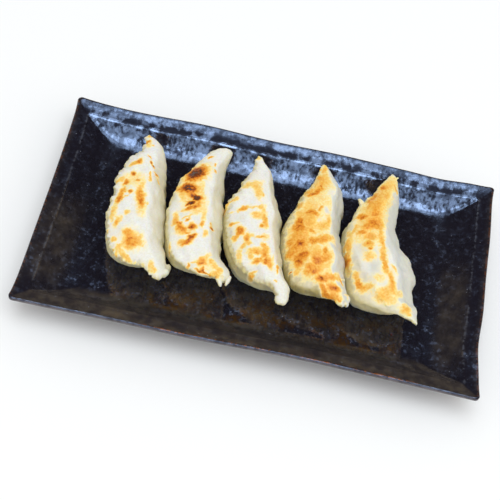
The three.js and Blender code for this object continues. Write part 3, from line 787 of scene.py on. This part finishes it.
def plate_points(settings):
    """The plate's skin as rings of points in mm, with each ring's inset from the rim, and 1
    for each point of the upper side."""
    profile = refine(plate_profile(), PROFILE_PITCH)[1:-1]  # grid_mesh closes the two middles
    station = plate_stations(settings.around)
    inset, height, radius, further = (profile[:, k, None] for k in range(4))
    share_x, share_y, angle = (station[None, :, k] for k in range(3))
    half_width = PLATE_WIDTH / 2 - inset
    half_length = np.where(half_width > 0, PLATE_LENGTH / 2 - inset - further, 0)
    rounding = np.minimum(radius, half_width)
    core_x = np.maximum(half_length - rounding, 0) * share_x
    core_y = np.maximum(half_width - rounding, 0) * share_y
    rim = 1 - smooth(inset, *RIM_REACH)
    corner = np.abs(share_x * share_y) ** CORNER_SHARPNESS
    out_x, out_y = np.cos(angle), np.sin(angle)
    out = rounding + rim * (CORNER_FLARE * corner + swell(core_x, core_y, out_x, out_y))
    rate_x, rate_y = RIM_WAVE_RATE
    wave = RIM_WAVE * np.sin(core_x * rate_x + share_y * RIM_WAVE_SHIFT + core_y * rate_y)
    lift = np.where(height > FOOT_HEIGHT, rim**2 * (CORNER_LIFT * corner + wave), 0)
    points = np.stack([core_x + out * out_x, core_y + out * out_y, height + lift], -1)
    upper = np.zeros(len(profile))
    upper[int(np.argmax(height)):] = 1
    return points, inset, upper[:, None] * np.ones(len(station))


def plate_fields(points, inset):
    """How strongly each look of the glaze shows at each point of the upper side. Each one
    fades in or out between two places in mm."""
    x, y, z = np.moveaxis(points, -1, 0)
    from_end, from_side = PLATE_LENGTH / 2 - np.abs(x), PLATE_WIDTH / 2 - np.abs(y)
    steepness = SIDE_WALL_RUN / WALL_RUN
    mitre = from_side + (steepness - 1) * np.maximum(from_side - BAND_INNER, 0)
    near_wall = smooth(from_end - mitre, -0.5, 1.5) * smooth(-y, 45, 50)
    wall_haze = lerp(END_WALL_HAZE, MIDDLE_WALL_HAZE, smooth(x, -75, -35) * (1 - smooth(x, 76, 84)))
    floor = smooth(inset, WALL_FOOT - 3, WALL_FOOT)
    sides = smooth(np.abs(x), 108, 114) * (1 - smooth(inset, 1, 4))
    veils = np.zeros(x.shape)
    for veil_x, veil_y, width, length in VEILS:
        veils += np.exp(-(((x - veil_x) / width) ** 4) - ((y - veil_y) / length) ** 4)
    haze = VEIL_HAZE * veils * (1 + 0.7 * clouds(points, VEIL_PATCH_SIZE, 4, 3))
    haze += wall_haze * near_wall + SIDE_HAZE * sides + LEAST_HAZE
    # Painted reflection of the gyoza: the floor just before the row, where the glaze would mirror them.
    gyoza_reflection = smooth(-y, 24, 40) * floor * smooth(x, -72, -58) * (1 - smooth(x, 78, 84))
    near_lip = hump(inset, LIP_ROUND + 0.2, 0.45) * smooth(-y, 50, 60)
    near_lip *= smooth(x, -60, -40) * (1 - smooth(x, 95, 105))
    end_lips = smooth(np.abs(x), 117, 118) * (1 - smooth(inset, 0.3, 1)) * smooth(z, 17, 18.5)
    return {
        "haze": np.clip(haze, 0, 1),
        "gyoza_reflection": REFLECTION_SHARE * gyoza_reflection,
        "lip": near_lip + END_LIP_SHARE * end_lips,
        "arris": hump(inset, BAND_INNER, 0.4) * smooth(mitre - from_end, 0, 2),
        "near_wall": near_wall,
        "band": 1 - smooth(inset, BAND_INNER - 0.2, BAND_INNER + 0.9),
        "groove": hump(inset, BAND_INNER - 1, 2),
        "wall": smooth(inset, BAND_INNER + 0.6, BAND_INNER + 2) * (1 - floor) * smooth(y, 25, 40),
        "foot": hump(inset, WALL_FOOT - 1.5, 3) * lerp(0.25, 1, smooth(y, 28, 44)),
    }


def glaze_material(settings):
    """A glossy glaze with clouds, brown haze, a painted orange-brown reflection of the gyoza
    on the floor before them, specks and worn edges. The mesh's fields say where, and layers of noise make
    each of them uneven."""
    shader = Shader("blue_black_glaze")
    where = shader.place()
    haze, gyoza_reflection, lip, near_wall = (shader.field(name) for name in ("haze", "gyoza_reflection", "lip", "near_wall"))
    band, groove, wall, foot = (shader.field(name) for name in ("band", "groove", "wall", "foot"))
    broad = shader.clouds(15, where, 3)
    medium = shader.clouds(5, where, 4, 0.55)
    threads = shader.clouds(1.9, where, 5, 0.58)
    fine = shader.clouds(1.2, where, 4, 0.6)
    streaks = shader.clouds(1.6, shader.place((16, 1, 1)), 4)
    drips = shader.clouds(1.5, shader.place((1, 3, 1)), 3)
    mottles = shader.clouds(2.4, shader.place((1, 1.8, 1)), 3)

    cloudy = shader.times(shader.ramp(threads, 0.48, 0.68), shader.ramp(medium, 0.4, 0.62, 0.25, 1))
    cloudy = shader.sum(cloudy, shader.times(shader.ramp(medium, 0.46, 0.7), 0.35))
    # Painted reflection of the gyoza, broken up by noise.
    painted_reflection = shader.times(gyoza_reflection, shader.ramp(shader.clouds(11, where, 3), 0.46, 0.6))
    specks = shader.times(shader.ramp(shader.dots(3.1, where), 0.1, 0.05), shader.ramp(medium, 0.5, 0.6))
    edge = shader.times(shader.field("arris"), shader.ramp(shader.sum(threads, medium), 0.9, 1.1))
    worn = shader.times(lip, shader.ramp(shader.sum(streaks, fine), 0.98, 1.1))
    base = settings.glaze
    for share, colour in (
        (cloudy, settings.cloud),
        (shader.times(haze, shader.ramp(medium, 0.3, 0.75, 0.3, 1)), settings.haze),
        # The next two paint the gyoza's reflection on the floor before them, in orange-brown and in brown.
        (shader.times(painted_reflection, shader.ramp(threads, 0.6, 0.4, 0.3, 1)), settings.reflection_amber),
        (shader.times(gyoza_reflection, shader.ramp(threads, 0.5, 0.7, 0, 0.32)), settings.haze),
        (specks, settings.speck),
        (shader.times(edge, 0.24), settings.speck),
        (worn, settings.body),
    ):
        base = shader.mix(share, base, colour)

    mottled = shader.ramp(shader.average(medium, mottles, 0.45), 0.34, 0.66)
    smears = shader.times(groove, shader.ramp(shader.average(broad, medium), 0.58, 0.46))
    runs = shader.times(wall, shader.ramp(shader.average(drips, broad), 0.48, 0.6))
    shine = shader.ramp(mottled, 0, 1, 0.4, 1)
    for loss in (
        shader.times(band, shader.ramp(mottled, 0, 1, 0.15, 0.4)),
        shader.times(wall, shader.ramp(mottled, 0, 1, 0.05, 0.3)),
        shader.times(smears, 0.6),
        shader.times(runs, 0.4),
    ):
        shine = shader.less(shine, loss)
    dull = shader.sum(shader.times(band, 0.04), shader.times(foot, 0.16))
    shader.set(
        Base_Color=base,
        Roughness=shader.sum(shader.ramp(cloudy, 0.1, 1, 0.08, 0.2), dull),
        Specular_IOR_Level=shader.times(shader.ramp(shine, 0, 1, 0.04, 1), 0.5),
        IOR=GLAZE_IOR,
        Specular_Tint=GLAZE_TINT,
    )
    uneven = shader.ramp(shader.sum(shader.sum(band, wall), foot), 0, 1, 0.2, 1)
    shader.bump(shader.times(broad, uneven), 0.3, 1.2)
    shader.bump(shader.times(medium, uneven), 0.3, 0.45)
    shader.bump(fine, 0.2, 0.08)
    shader.bump(shader.times(streaks, near_wall), 0.7, 0.3)
    return shader.material


class GYOZA_OT_make_plate(bpy.types.Operator):
    """Makes the long glazed plate with its banded rim, sloping walls and foot ring"""

    bl_idname = "gyoza.make_plate"
    bl_label = "Make Plate"

    def execute(self, context):
        settings = context.scene.plate_settings
        points, inset, upper = plate_points(settings)
        ripple = clouds(points, RIPPLE_SIZE, 3, 1) * upper * smooth(inset, 1, 4)
        points[..., 2] += settings.ripple / MM * ripple
        fields = {name: field * upper for name, field in plate_fields(points, inset).items()}
        plate = grid_mesh("glazed_plate", points, fields)
        plate.data.materials.append(glaze_material(settings))
        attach(plate, "root")
        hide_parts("plate")
        return {"FINISHED"}


# ------------------------------------------------------------------ gyoza
def pleat(station):
    """One pleat after another, each rising slowly and dropping faster onto the next."""
    turns = (station - PLEATS_START) / (PLEATS_END - PLEATS_START) * PLEATS * 2 * math.pi
    fade = 1 - smooth(np.abs(station - (PLEATS_START + PLEATS_END) / 2), 0.5, 0.72)
    return fade * np.sin(turns + 0.5 * np.sin(turns))


def top_height(form, end):
    """The fried face's height, which falls from the middle to the tips."""
    return lerp(form["height"], TIP_HEIGHT, smooth(end, FACE_LEVEL_TO, 1))


def section_points(form, station):
    """The section's control points at each station, as (stations, points, 2) in mm."""
    left, right = along(form["left"], station), along(form["right"], station)
    half_width = (right - left) / 2
    middle = (right + left) / 2
    end = np.abs(station)
    fullness = smooth(half_width, TIP_HALF_WIDTH, FULL_HALF_WIDTH)
    top = top_height(form, end)
    near_lift, far_lift = smooth(end, form["lift"], 1), smooth(end, FAR_LIFT, 1)
    bottom = (TIP_HEIGHT - TIP_THICKNESS) * np.where(station < 0, near_lift, far_lift)
    past = np.clip((end - 1 + TIP_ROUND_SHARE) / TIP_ROUND_SHARE, 0, 1)
    rounding = np.sqrt(1 - past**2)
    shoulder = lerp(form["face"], form["shoulder"], smooth(-station, 0.2, 0.7))
    ridge = form["ridge"]
    # Across: the face's left edge and a place inside it, two places further on, the ridge,
    # and a place about half way from there to the pleated side.
    belly = np.repeat(BELLY_SECTION[None], len(station), 0)
    belly[:, 0, 0] = -shoulder
    belly[:, 1, 0] = -0.58 * shoulder
    belly[:, 2:6, 0] = (ridge * 0.5 - 0.4, ridge * 0.5, ridge, 0.49 * (ridge + 1))
    shape = lerp(TIP_SECTION[None], belly, fullness[:, None, None])
    crease = (fullness * rounding * pleat(station))[:, None]
    frill = (fullness * rounding * smooth(-station, -0.6, 0) * smooth(station, -0.8, -0.3))[:, None]
    half_width, middle, rounding, top, bottom = (
        part[:, None] for part in (half_width, middle, rounding, top, bottom)
    )
    across = middle + half_width * shape[..., 0] * rounding
    across += PLEAT_DEPTH * crease * PLEAT_SHARE + half_width * FRILL_REACH * frill * FRILL_SHARE
    up = lerp((top + bottom) / 2, lerp(bottom, top, shape[..., 1]), rounding)
    up += FRILL_RISE * (frill + 0.4 * crease) * FRILL_SHARE
    return np.stack([across, up], -1)


def gyoza_frame(form):
    """The middle between the two ends, the directions along and across, and half the length."""
    far, near = np.array(form["far"], float), np.array(form["near"], float)
    half_length = np.linalg.norm(far - near) / 2
    axis = (far - near) / (2 * half_length)
    return (far + near) / 2, axis, np.array([axis[1], -axis[0]]), half_length


def gyoza_points(form, number, settings):
    """The plain body as rings of points in mm, from its near end to its far end."""
    middle, axis, across, half_length = gyoza_frame(form)
    even = np.linspace(-1, 1, settings.along + 2)[1:-1]
    stations = lerp(even, np.sin(even * math.pi / 2), 0.6)  # closer together towards the tips
    section = closed_curve(section_points(form, stations), settings.around)
    x, z = section[..., 0], np.maximum(section[..., 1], 0)
    station = stations[:, None] * np.ones(settings.around)
    on_face = smooth(z, form["height"] * 0.75, form["height"] * 0.95)
    shift = number * NEIGHBOUR_SHIFT
    lumps = np.sin(x / LUMP_PITCH[0] * 2 * math.pi + shift)
    lumps *= np.sin((station * half_length + x / 2) / LUMP_PITCH[1] * 2 * math.pi + shift)
    z = z + settings.lumps / MM * lumps * on_face
    station = np.maximum(station, -1 + form["cut"] / half_length)
    plan = middle + x[..., None] * across + (station * half_length)[..., None] * axis
    moved = plan.copy()
    for press_x, press_y, reach, push_x, push_y in form["presses"]:
        near = np.exp(-(((plan - (press_x, press_y)) / reach) ** 2).sum(-1))
        moved += near[..., None] * (push_x, push_y)
    return np.concatenate([moved, (FLOOR_HEIGHT + REST_GAP + z)[..., None]], -1)


def oval(x, y, patch):
    """0 in the middle of a turned oval patch, 1 at its edge, and more outside."""
    patch_x, patch_y, length, width, turn = patch[:5]
    cosine, sine = math.cos(math.radians(turn)), math.sin(math.radians(turn))
    right, up = x - patch_x, y - patch_y
    return ((right * cosine + up * sine) / length) ** 2 + ((up * cosine - right * sine) / width) ** 2


def toasting(points, spots, number):
    """How browned each point is, from 0 to 1, from the pan's spots, and the grain of their edges."""
    flat = points * (1, 1, 0)
    wander = np.stack([clouds(flat, SPOT_WANDER_SIZE, 3, number + shift) for shift in (0.1, 0.5)], -1)
    x, y = np.moveaxis(points[..., :2] + SPOT_WANDER * wander, -1, 0)
    grain = clouds(flat, SPOT_GRAIN_SIZE, 3, number + 0.8)
    total = np.zeros(x.shape)
    for spot in spots:
        strength = spot[-1]
        distance = oval(x, y, spot) * np.exp(SPOT_GRAIN * grain)
        total += (strength * np.exp(-SPOT_FALL * distance**2)) ** SPOT_BLEND
        total += (HALO * strength * np.exp(-HALO_FALL * distance)) ** SPOT_BLEND
    return total ** (1 / SPOT_BLEND), grain


def dough_material(settings):
    """Soft dough, from floury over steamed to oil-soaked and clear enough to show the filling, with painted
    shade on the lower smooth belly and on the pleated side, that browns with the heat.
    """
    shader = Shader("fried_dough")
    where = shader.place()
    toast, steamed = shader.field("toast"), shader.field("steamed")
    grain = shader.clouds(1.1, where, 3, 0.55)
    soft = shader.clouds(7, where, 3)
    flecks = shader.clouds(0.45, where, 2)
    flour = shader.ramp(shader.average(flecks, grain), 0.42, 0.62)
    floury = shader.mix(flour, settings.floury, settings.dusty)
    dough = shader.mix(steamed, floury, settings.cream)
    # Painted shade, partly oil soak: the lower smooth belly darkened to olive.
    dough = shader.mix(shader.field("oil_and_shade"), dough, settings.oil_and_shade)
    # Painted shade, partly the filling showing through: the pleated side greyed.
    dough = shader.mix(shader.field("glassy_and_shade"), dough, settings.glassy_and_shade)
    uneven = shader.times(shader.ramp(grain, 0.3, 0.7, -0.08, 0.08), shader.ramp(toast, 0.04, 0.3))
    heat = shader.sum(toast, uneven)
    fried = shader.colours(
        heat,
        [
            (0.0, settings.floury),
            (0.2, settings.straw),
            (0.4, settings.golden),
            (0.6, settings.orange),
            (0.75, settings.russet),
            (0.85, settings.brown),
            (0.95, settings.char),
            (1.0, settings.ash),
        ],
    )
    base = shader.mix(shader.ramp(heat, 0.02, 0.22), dough, fried)
    shader.set(
        Base_Color=base,
        Roughness=shader.ramp(heat, 0.2, 0.9, 0.52, 0.3),
        Subsurface_Weight=0.5,
        Subsurface_Radius=(1.0, 0.75, 0.35),
        Subsurface_Scale=0.005,
        Specular_IOR_Level=0.25,
    )
    shader.bump(soft, 0.25, 0.5)
    shader.bump(grain, 0.6, 0.15)
    shader.bump(flecks, 0.4, 0.05)
    return shader.material


def height_share(points, form):
    """How high each point lies, from 0 at the gyoza's foot to 1 at its fried face."""
    return (points[:, 2] - FLOOR_HEIGHT - REST_GAP) / form["height"]


def crimp(points, normals, form, number):
    """How far to move the skin in mm, for a ragged crust along the face's open side with an
    undercut below it, and for folds in the dough."""
    across = gyoza_frame(form)[2]
    level = normals[:, :2] / np.maximum(np.linalg.norm(normals[:, :2], axis=1, keepdims=True), 1e-6)
    share = height_share(points, form)
    open_side = smooth(-level @ across, -0.35, 0.1)
    edge = open_side * smooth(share, 0.62, 0.82) * smooth(np.abs(normals[:, 2]), 0.95, 0.7)
    flat = points * (1, 1, 0)
    coarse, fine = RAG_SIZES
    torn = clouds(flat, coarse, 2, number + 6.1) + 0.7 * clouds(flat, fine, 2, number + 6.7)
    under = open_side * smooth(share, 0.5, 0.64) * (1 - smooth(share, 0.68, 0.78)) * (1 + 0.8 * torn)
    outward = form["ragged"] * edge * (0.35 + torn) - UNDERCUT * np.maximum(under, 0)
    move = np.zeros(points.shape)
    move[:, :2] = level * outward[:, None]
    for x1, y1, x2, y2, height, width in form["folds"]:
        start, along_fold = np.array([x1, y1]), np.array([x2 - x1, y2 - y1])
        at = np.clip((points[:, :2] - start) @ along_fold / (along_fold @ along_fold), 0, 1)
        away = np.linalg.norm(points[:, :2] - start - at[:, None] * along_fold, axis=1)
        move += normals * (height * hump(away, 0, width) * smooth(share, 0.1, 0.3))[:, None]
    return move


def skin_fields(points, normals, form, number):
    """How toasted and steamed each point is, how much oil and painted shade darken its lower smooth belly,
    and how much the filling and painted shade grey its pleated side, from 0 to 1, and the marks' grain.
    Each look fades in or out between two heights, or between two directions of the skin."""
    heat, grain = toasting(points, SPOTS[number - 1], number)
    share = height_share(points, form)
    middle, axis, across, half_length = gyoza_frame(form)
    upward, rightward = normals[:, 2], normals[:, :2] @ across
    face = smooth(share, 0.66, 0.86) * smooth(upward, 0.45, 0.85)
    pleated, ridge_side = smooth(rightward, 0, 0.6), smooth(rightward, 0.08, 0.42)
    station = (points[:, :2] - middle) @ axis / half_length
    rise = share * form["height"] / top_height(form, np.abs(station))
    # The smooth side's lower belly, turned down and away from the face: painted shade, with oil, darkens it.
    belly = (1 - smooth(upward, 0.7, 0.98) * smooth(rise, 0.82, 0.97)) * (1 - ridge_side)
    oily = lerp(0.4, 1, face) * (1 - ridge_side) * smooth(upward, -0.6, 0.1)
    oily *= 1 - 0.6 * belly * form["oil_and_shade"]
    gold = form["gold"] * oily * (1 + 0.6 * clouds(points, GOLD_PATCH_SIZE, 3, number + 2.2))
    soaked = 1 + 0.6 * clouds(points, OIL_PATCH_SIZE, 3, number + 3.3)
    # Painted shade over the pleated side, partly the filling showing through; the grey ovals below are the
    # filling alone.
    glassy_and_shade = form["glassy_and_shade"] * ridge_side * smooth(share, 0.25, 0.5)
    for patch in form["grey"]:
        glassy_and_shade = glassy_and_shade + patch[-1] * np.exp(-oval(points[:, 0], points[:, 1], patch)) * face * soaked
    fields = {
        "toast": 1 - (1 - heat * smooth(upward, -0.3, 0.3)) * (1 - gold),
        "steamed": (1 - face + 0.12 * grain) * (1 - 0.45 * pleated * smooth(share, 0.3, 0.8)),
        "oil_and_shade": form["oil_and_shade"] * soaked * belly,
        "glassy_and_shade": glassy_and_shade,
    }
    return {name: np.clip(field, 0, 1) for name, field in fields.items()}, grain


def make_one_gyoza(number, settings, material):
    form = GYOZA[number - 1]
    body = grid_mesh(f"fried_gyoza_{number}", gyoza_points(form, number, settings))
    mesh = join_dough(body, form["tip"], settings.skin / MM)
    points, normals = points_and_normals(mesh)
    points += crimp(points, normals, form, number)
    fields, grain = skin_fields(points, normals, form, number)
    relief = BLISTER_HEIGHT * clouds(points, BLISTER_SIZE, 2, number + 4.1)
    relief += WRINKLE_HEIGHT * clouds(points, WRINKLE_SIZE, 2, number + 5.2)
    relief += CRUST_HEIGHT * fields["toast"] * (0.5 + grain)
    points += normals * relief[:, None]
    points[:, 2] = np.maximum(points[:, 2], FLOOR_HEIGHT + REST_GAP)
    move_points(mesh, points)
    for name, field in fields.items():
        add_field(mesh, name, field)
    piece = finished_object(mesh)
    piece.data.materials.append(material)
    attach(piece, "root")
    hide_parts(f"gyoza_{number}")
    return piece


def skin_tree(mesh):
    """The mesh's faces, ready for finding the one nearest to a place."""
    body = bmesh.new()
    body.from_mesh(mesh)
    tree = BVHTree.FromBMesh(body)
    body.free()
    return tree


def set_back(mesh, tree, box):
    """The mesh's points in mm. Each one in the box that lies too close to the tree's skin, or
    inside it, is moved half way back out."""
    points = points_and_normals(mesh)[0]
    move = np.zeros(points.shape)
    for i in np.flatnonzero(((points > box[0]) & (points < box[1])).all(1)):
        place, normal, _, _ = tree.find_nearest(Vector(points[i]) * MM, CONTACT_DEPTH * MM)
        if place:
            depth = CONTACT_GAP - (points[i] - np.array(place) / MM) @ normal
            move[i] = np.array(normal) * max(depth, 0) / 2
    return points + move


def part_neighbours(left, right):
    """Moves two touching skins back from each other, so that they meet with no overlap."""
    meshes = (left.data, right.data)
    for _ in range(CONTACT_ROUNDS):
        corners = [points_and_normals(mesh)[0] for mesh in meshes]
        boxes = [(points.min(0) - CONTACT_GAP, points.max(0) + CONTACT_GAP) for points in corners]
        trees = [skin_tree(mesh) for mesh in meshes]
        moved = [set_back(meshes[0], trees[1], boxes[1]), set_back(meshes[1], trees[0], boxes[0])]
        for mesh, points in zip(meshes, moved):
            move_points(mesh, points)
            mesh.update()


class GYOZA_OT_make_gyoza(bpy.types.Operator):
    """Makes the five gyoza with their browned faces and pleated sides"""

    bl_idname = "gyoza.make_gyoza"
    bl_label = "Make Gyoza"

    def execute(self, context):
        settings = context.scene.gyoza_settings
        material = dough_material(settings)
        row = [make_one_gyoza(number, settings, material) for number in range(1, len(GYOZA) + 1)]
        for left, right in zip(row[:-1], row[1:]):
            part_neighbours(left, right)
        return {"FINISHED"}


# ------------------------------------------------------------------ stage
# Places and sizes of the stage are in metres.
CAMERA_PLACE = (-0.0073, -0.30753, 0.48892)
CAMERA_ELEVATION = math.radians(57.5)
CAMERA_ROLL = math.radians(12.25)
FLOOR_SIZE = 8
# A light's place, the point that it faces, and its length and width.
SKYLIGHT = ((0.3, -0.3, 2.5), (0, -0.1, 0), (1.6, 2.6))
WINDOW = ((0, -1.01, 2.5), (0, -1.01, 0), (4.4, 1.52))
WINDOW_ABOVE = ((0, 0.375, 2.5), (0, 0.375, 0), (4.4, 1.25))
WINDOW_SIDE = ((0, -2.37, 1.7), (0, 0, 0), (4, 2.04))
LEFT_LAMP = ((-1.3, -0.9, 0.9), (0, 0, 0), (0.9, 0.9))
RIGHT_LAMP = ((1.5, -0.45, 0.9), (0, 0, 0), (1.3, 1.3))
# How bright these are beside the window, and beside the lamps' own brightness.
DIM_WINDOW = 0.4
LEFT_LAMP_SHARE = 0.2
RIGHT_LAMP_SHARE = 0.22


def camera_matrix():
    """Where the camera stands, tilted down by its elevation and turned by its roll."""
    sine, cosine = math.sin(CAMERA_ELEVATION), math.cos(CAMERA_ELEVATION)
    forward, level, upward = Vector((0, cosine, -sine)), Vector((1, 0, 0)), Vector((0, sine, cosine))
    right = level * math.cos(CAMERA_ROLL) + upward * math.sin(CAMERA_ROLL)
    up = upward * math.cos(CAMERA_ROLL) - level * math.sin(CAMERA_ROLL)
    matrix = Matrix((right, up, -forward)).transposed().to_4x4()
    matrix.translation = CAMERA_PLACE
    return matrix


def soft_light(name, rig, glow, colour, receivers, glossy_only=False):
    """A rectangular light on the receivers, or one that only shows as a reflection in them."""
    place, target, size = rig
    data = bpy.data.lights.new(name, "AREA")
    data.shape = "RECTANGLE"
    data.size, data.size_y = size
    data.energy = glow * math.pi * size[0] * size[1]
    data.color = colour
    light = bpy.data.objects.new(name, data)
    light.visible_diffuse = not glossy_only
    light.light_linking.receiver_collection = receivers
    light.location = place
    light.rotation_euler = (Vector(target) - Vector(place)).to_track_quat("-Z", "Y").to_euler()
    bpy.context.scene.collection.objects.link(light)


def make_floor(settings):
    bpy.ops.mesh.primitive_plane_add(size=FLOOR_SIZE)
    floor = bpy.context.object
    floor.name = "pale_floor"
    shader = Shader("pale_floor")
    shader.set(Base_Color=tuple(settings.floor), Roughness=0.8)
    floor.data.materials.append(shader.material)


def make_lights(scene, settings):
    """Even light from all round, windows that show in the plate alone, and lamps for the rest."""
    world = scene.world or bpy.data.worlds.new("soft_room")
    scene.world = world
    world.use_nodes = True
    background = world.node_tree.nodes["Background"]
    background.inputs["Color"].default_value = (*settings.room, 1)
    world.cycles_visibility.glossy = False
    plate, rest = bpy.data.collections.new("plate_alone"), bpy.data.collections.new("all_but_plate")
    for piece in scene.objects:
        (plate if piece.name == "glazed_plate" else rest).objects.link(piece)
    soft_light("skylight", SKYLIGHT, settings.skylight, settings.sky, rest)
    for name, rig, share in (
        ("window", WINDOW, 1),
        ("window_above", WINDOW_ABOVE, DIM_WINDOW),
        ("window_side", WINDOW_SIDE, DIM_WINDOW),
    ):
        soft_light(name, rig, settings.window * share, settings.cool, plate, glossy_only=True)
    soft_light("left_lamp", LEFT_LAMP, settings.lamp * LEFT_LAMP_SHARE, settings.warm, rest)
    soft_light("right_lamp", RIGHT_LAMP, settings.lamp * RIGHT_LAMP_SHARE, settings.fair, rest)


def make_camera(scene, settings):
    data = bpy.data.cameras.new("camera")
    data.lens = settings.lens
    data.clip_start = 0.01
    camera = bpy.data.objects.new("camera", data)
    camera.matrix_world = camera_matrix()
    scene.collection.objects.link(camera)
    scene.camera = camera


class GYOZA_OT_make_stage(bpy.types.Operator):
    """Makes the pale floor, the soft lights and the camera"""

    bl_idname = "gyoza.make_stage"
    bl_label = "Make Stage"

    def execute(self, context):
        settings = context.scene.stage_settings
        make_floor(settings)
        make_lights(context.scene, settings)
        make_camera(context.scene, settings)
        context.scene.view_settings.view_transform = "Standard"
        return {"FINISHED"}


# ------------------------------------------------------------------ add-on
class GYOZA_PT_panel(bpy.types.Panel):
    """Lists what the add-on makes, with its settings"""

    bl_idname = "GYOZA_PT_panel"
    bl_label = "Gyoza on a Long Plate"
    bl_space_type = "VIEW_3D"
    bl_region_type = "UI"
    bl_category = "Gyoza"

    def draw(self, context):
        for settings, operator in (
            ("plate_settings", GYOZA_OT_make_plate),
            ("gyoza_settings", GYOZA_OT_make_gyoza),
            ("stage_settings", GYOZA_OT_make_stage),
        ):
            box = self.layout.box()
            group = getattr(context.scene, settings)
            for key in group.__annotations__:
                box.prop(group, key)
            box.operator(operator.bl_idname)


CLASSES = (
    PlateSettings,
    GyozaSettings,
    StageSettings,
    GYOZA_OT_make_plate,
    GYOZA_OT_make_gyoza,
    GYOZA_OT_make_stage,
    GYOZA_PT_panel,
)


def register():
    for made in CLASSES:
        bpy.utils.register_class(made)
    bpy.types.Scene.plate_settings = PointerProperty(type=PlateSettings)
    bpy.types.Scene.gyoza_settings = PointerProperty(type=GyozaSettings)
    bpy.types.Scene.stage_settings = PointerProperty(type=StageSettings)


def unregister():
    for name in ("plate_settings", "gyoza_settings", "stage_settings"):
        delattr(bpy.types.Scene, name)
    for made in reversed(CLASSES):
        bpy.utils.unregister_class(made)


def main():
    register()
    bpy.ops.gyoza.make_plate()
    bpy.ops.gyoza.make_gyoza()
    bpy.ops.gyoza.make_stage()


if __name__ == "__main__":
    main()
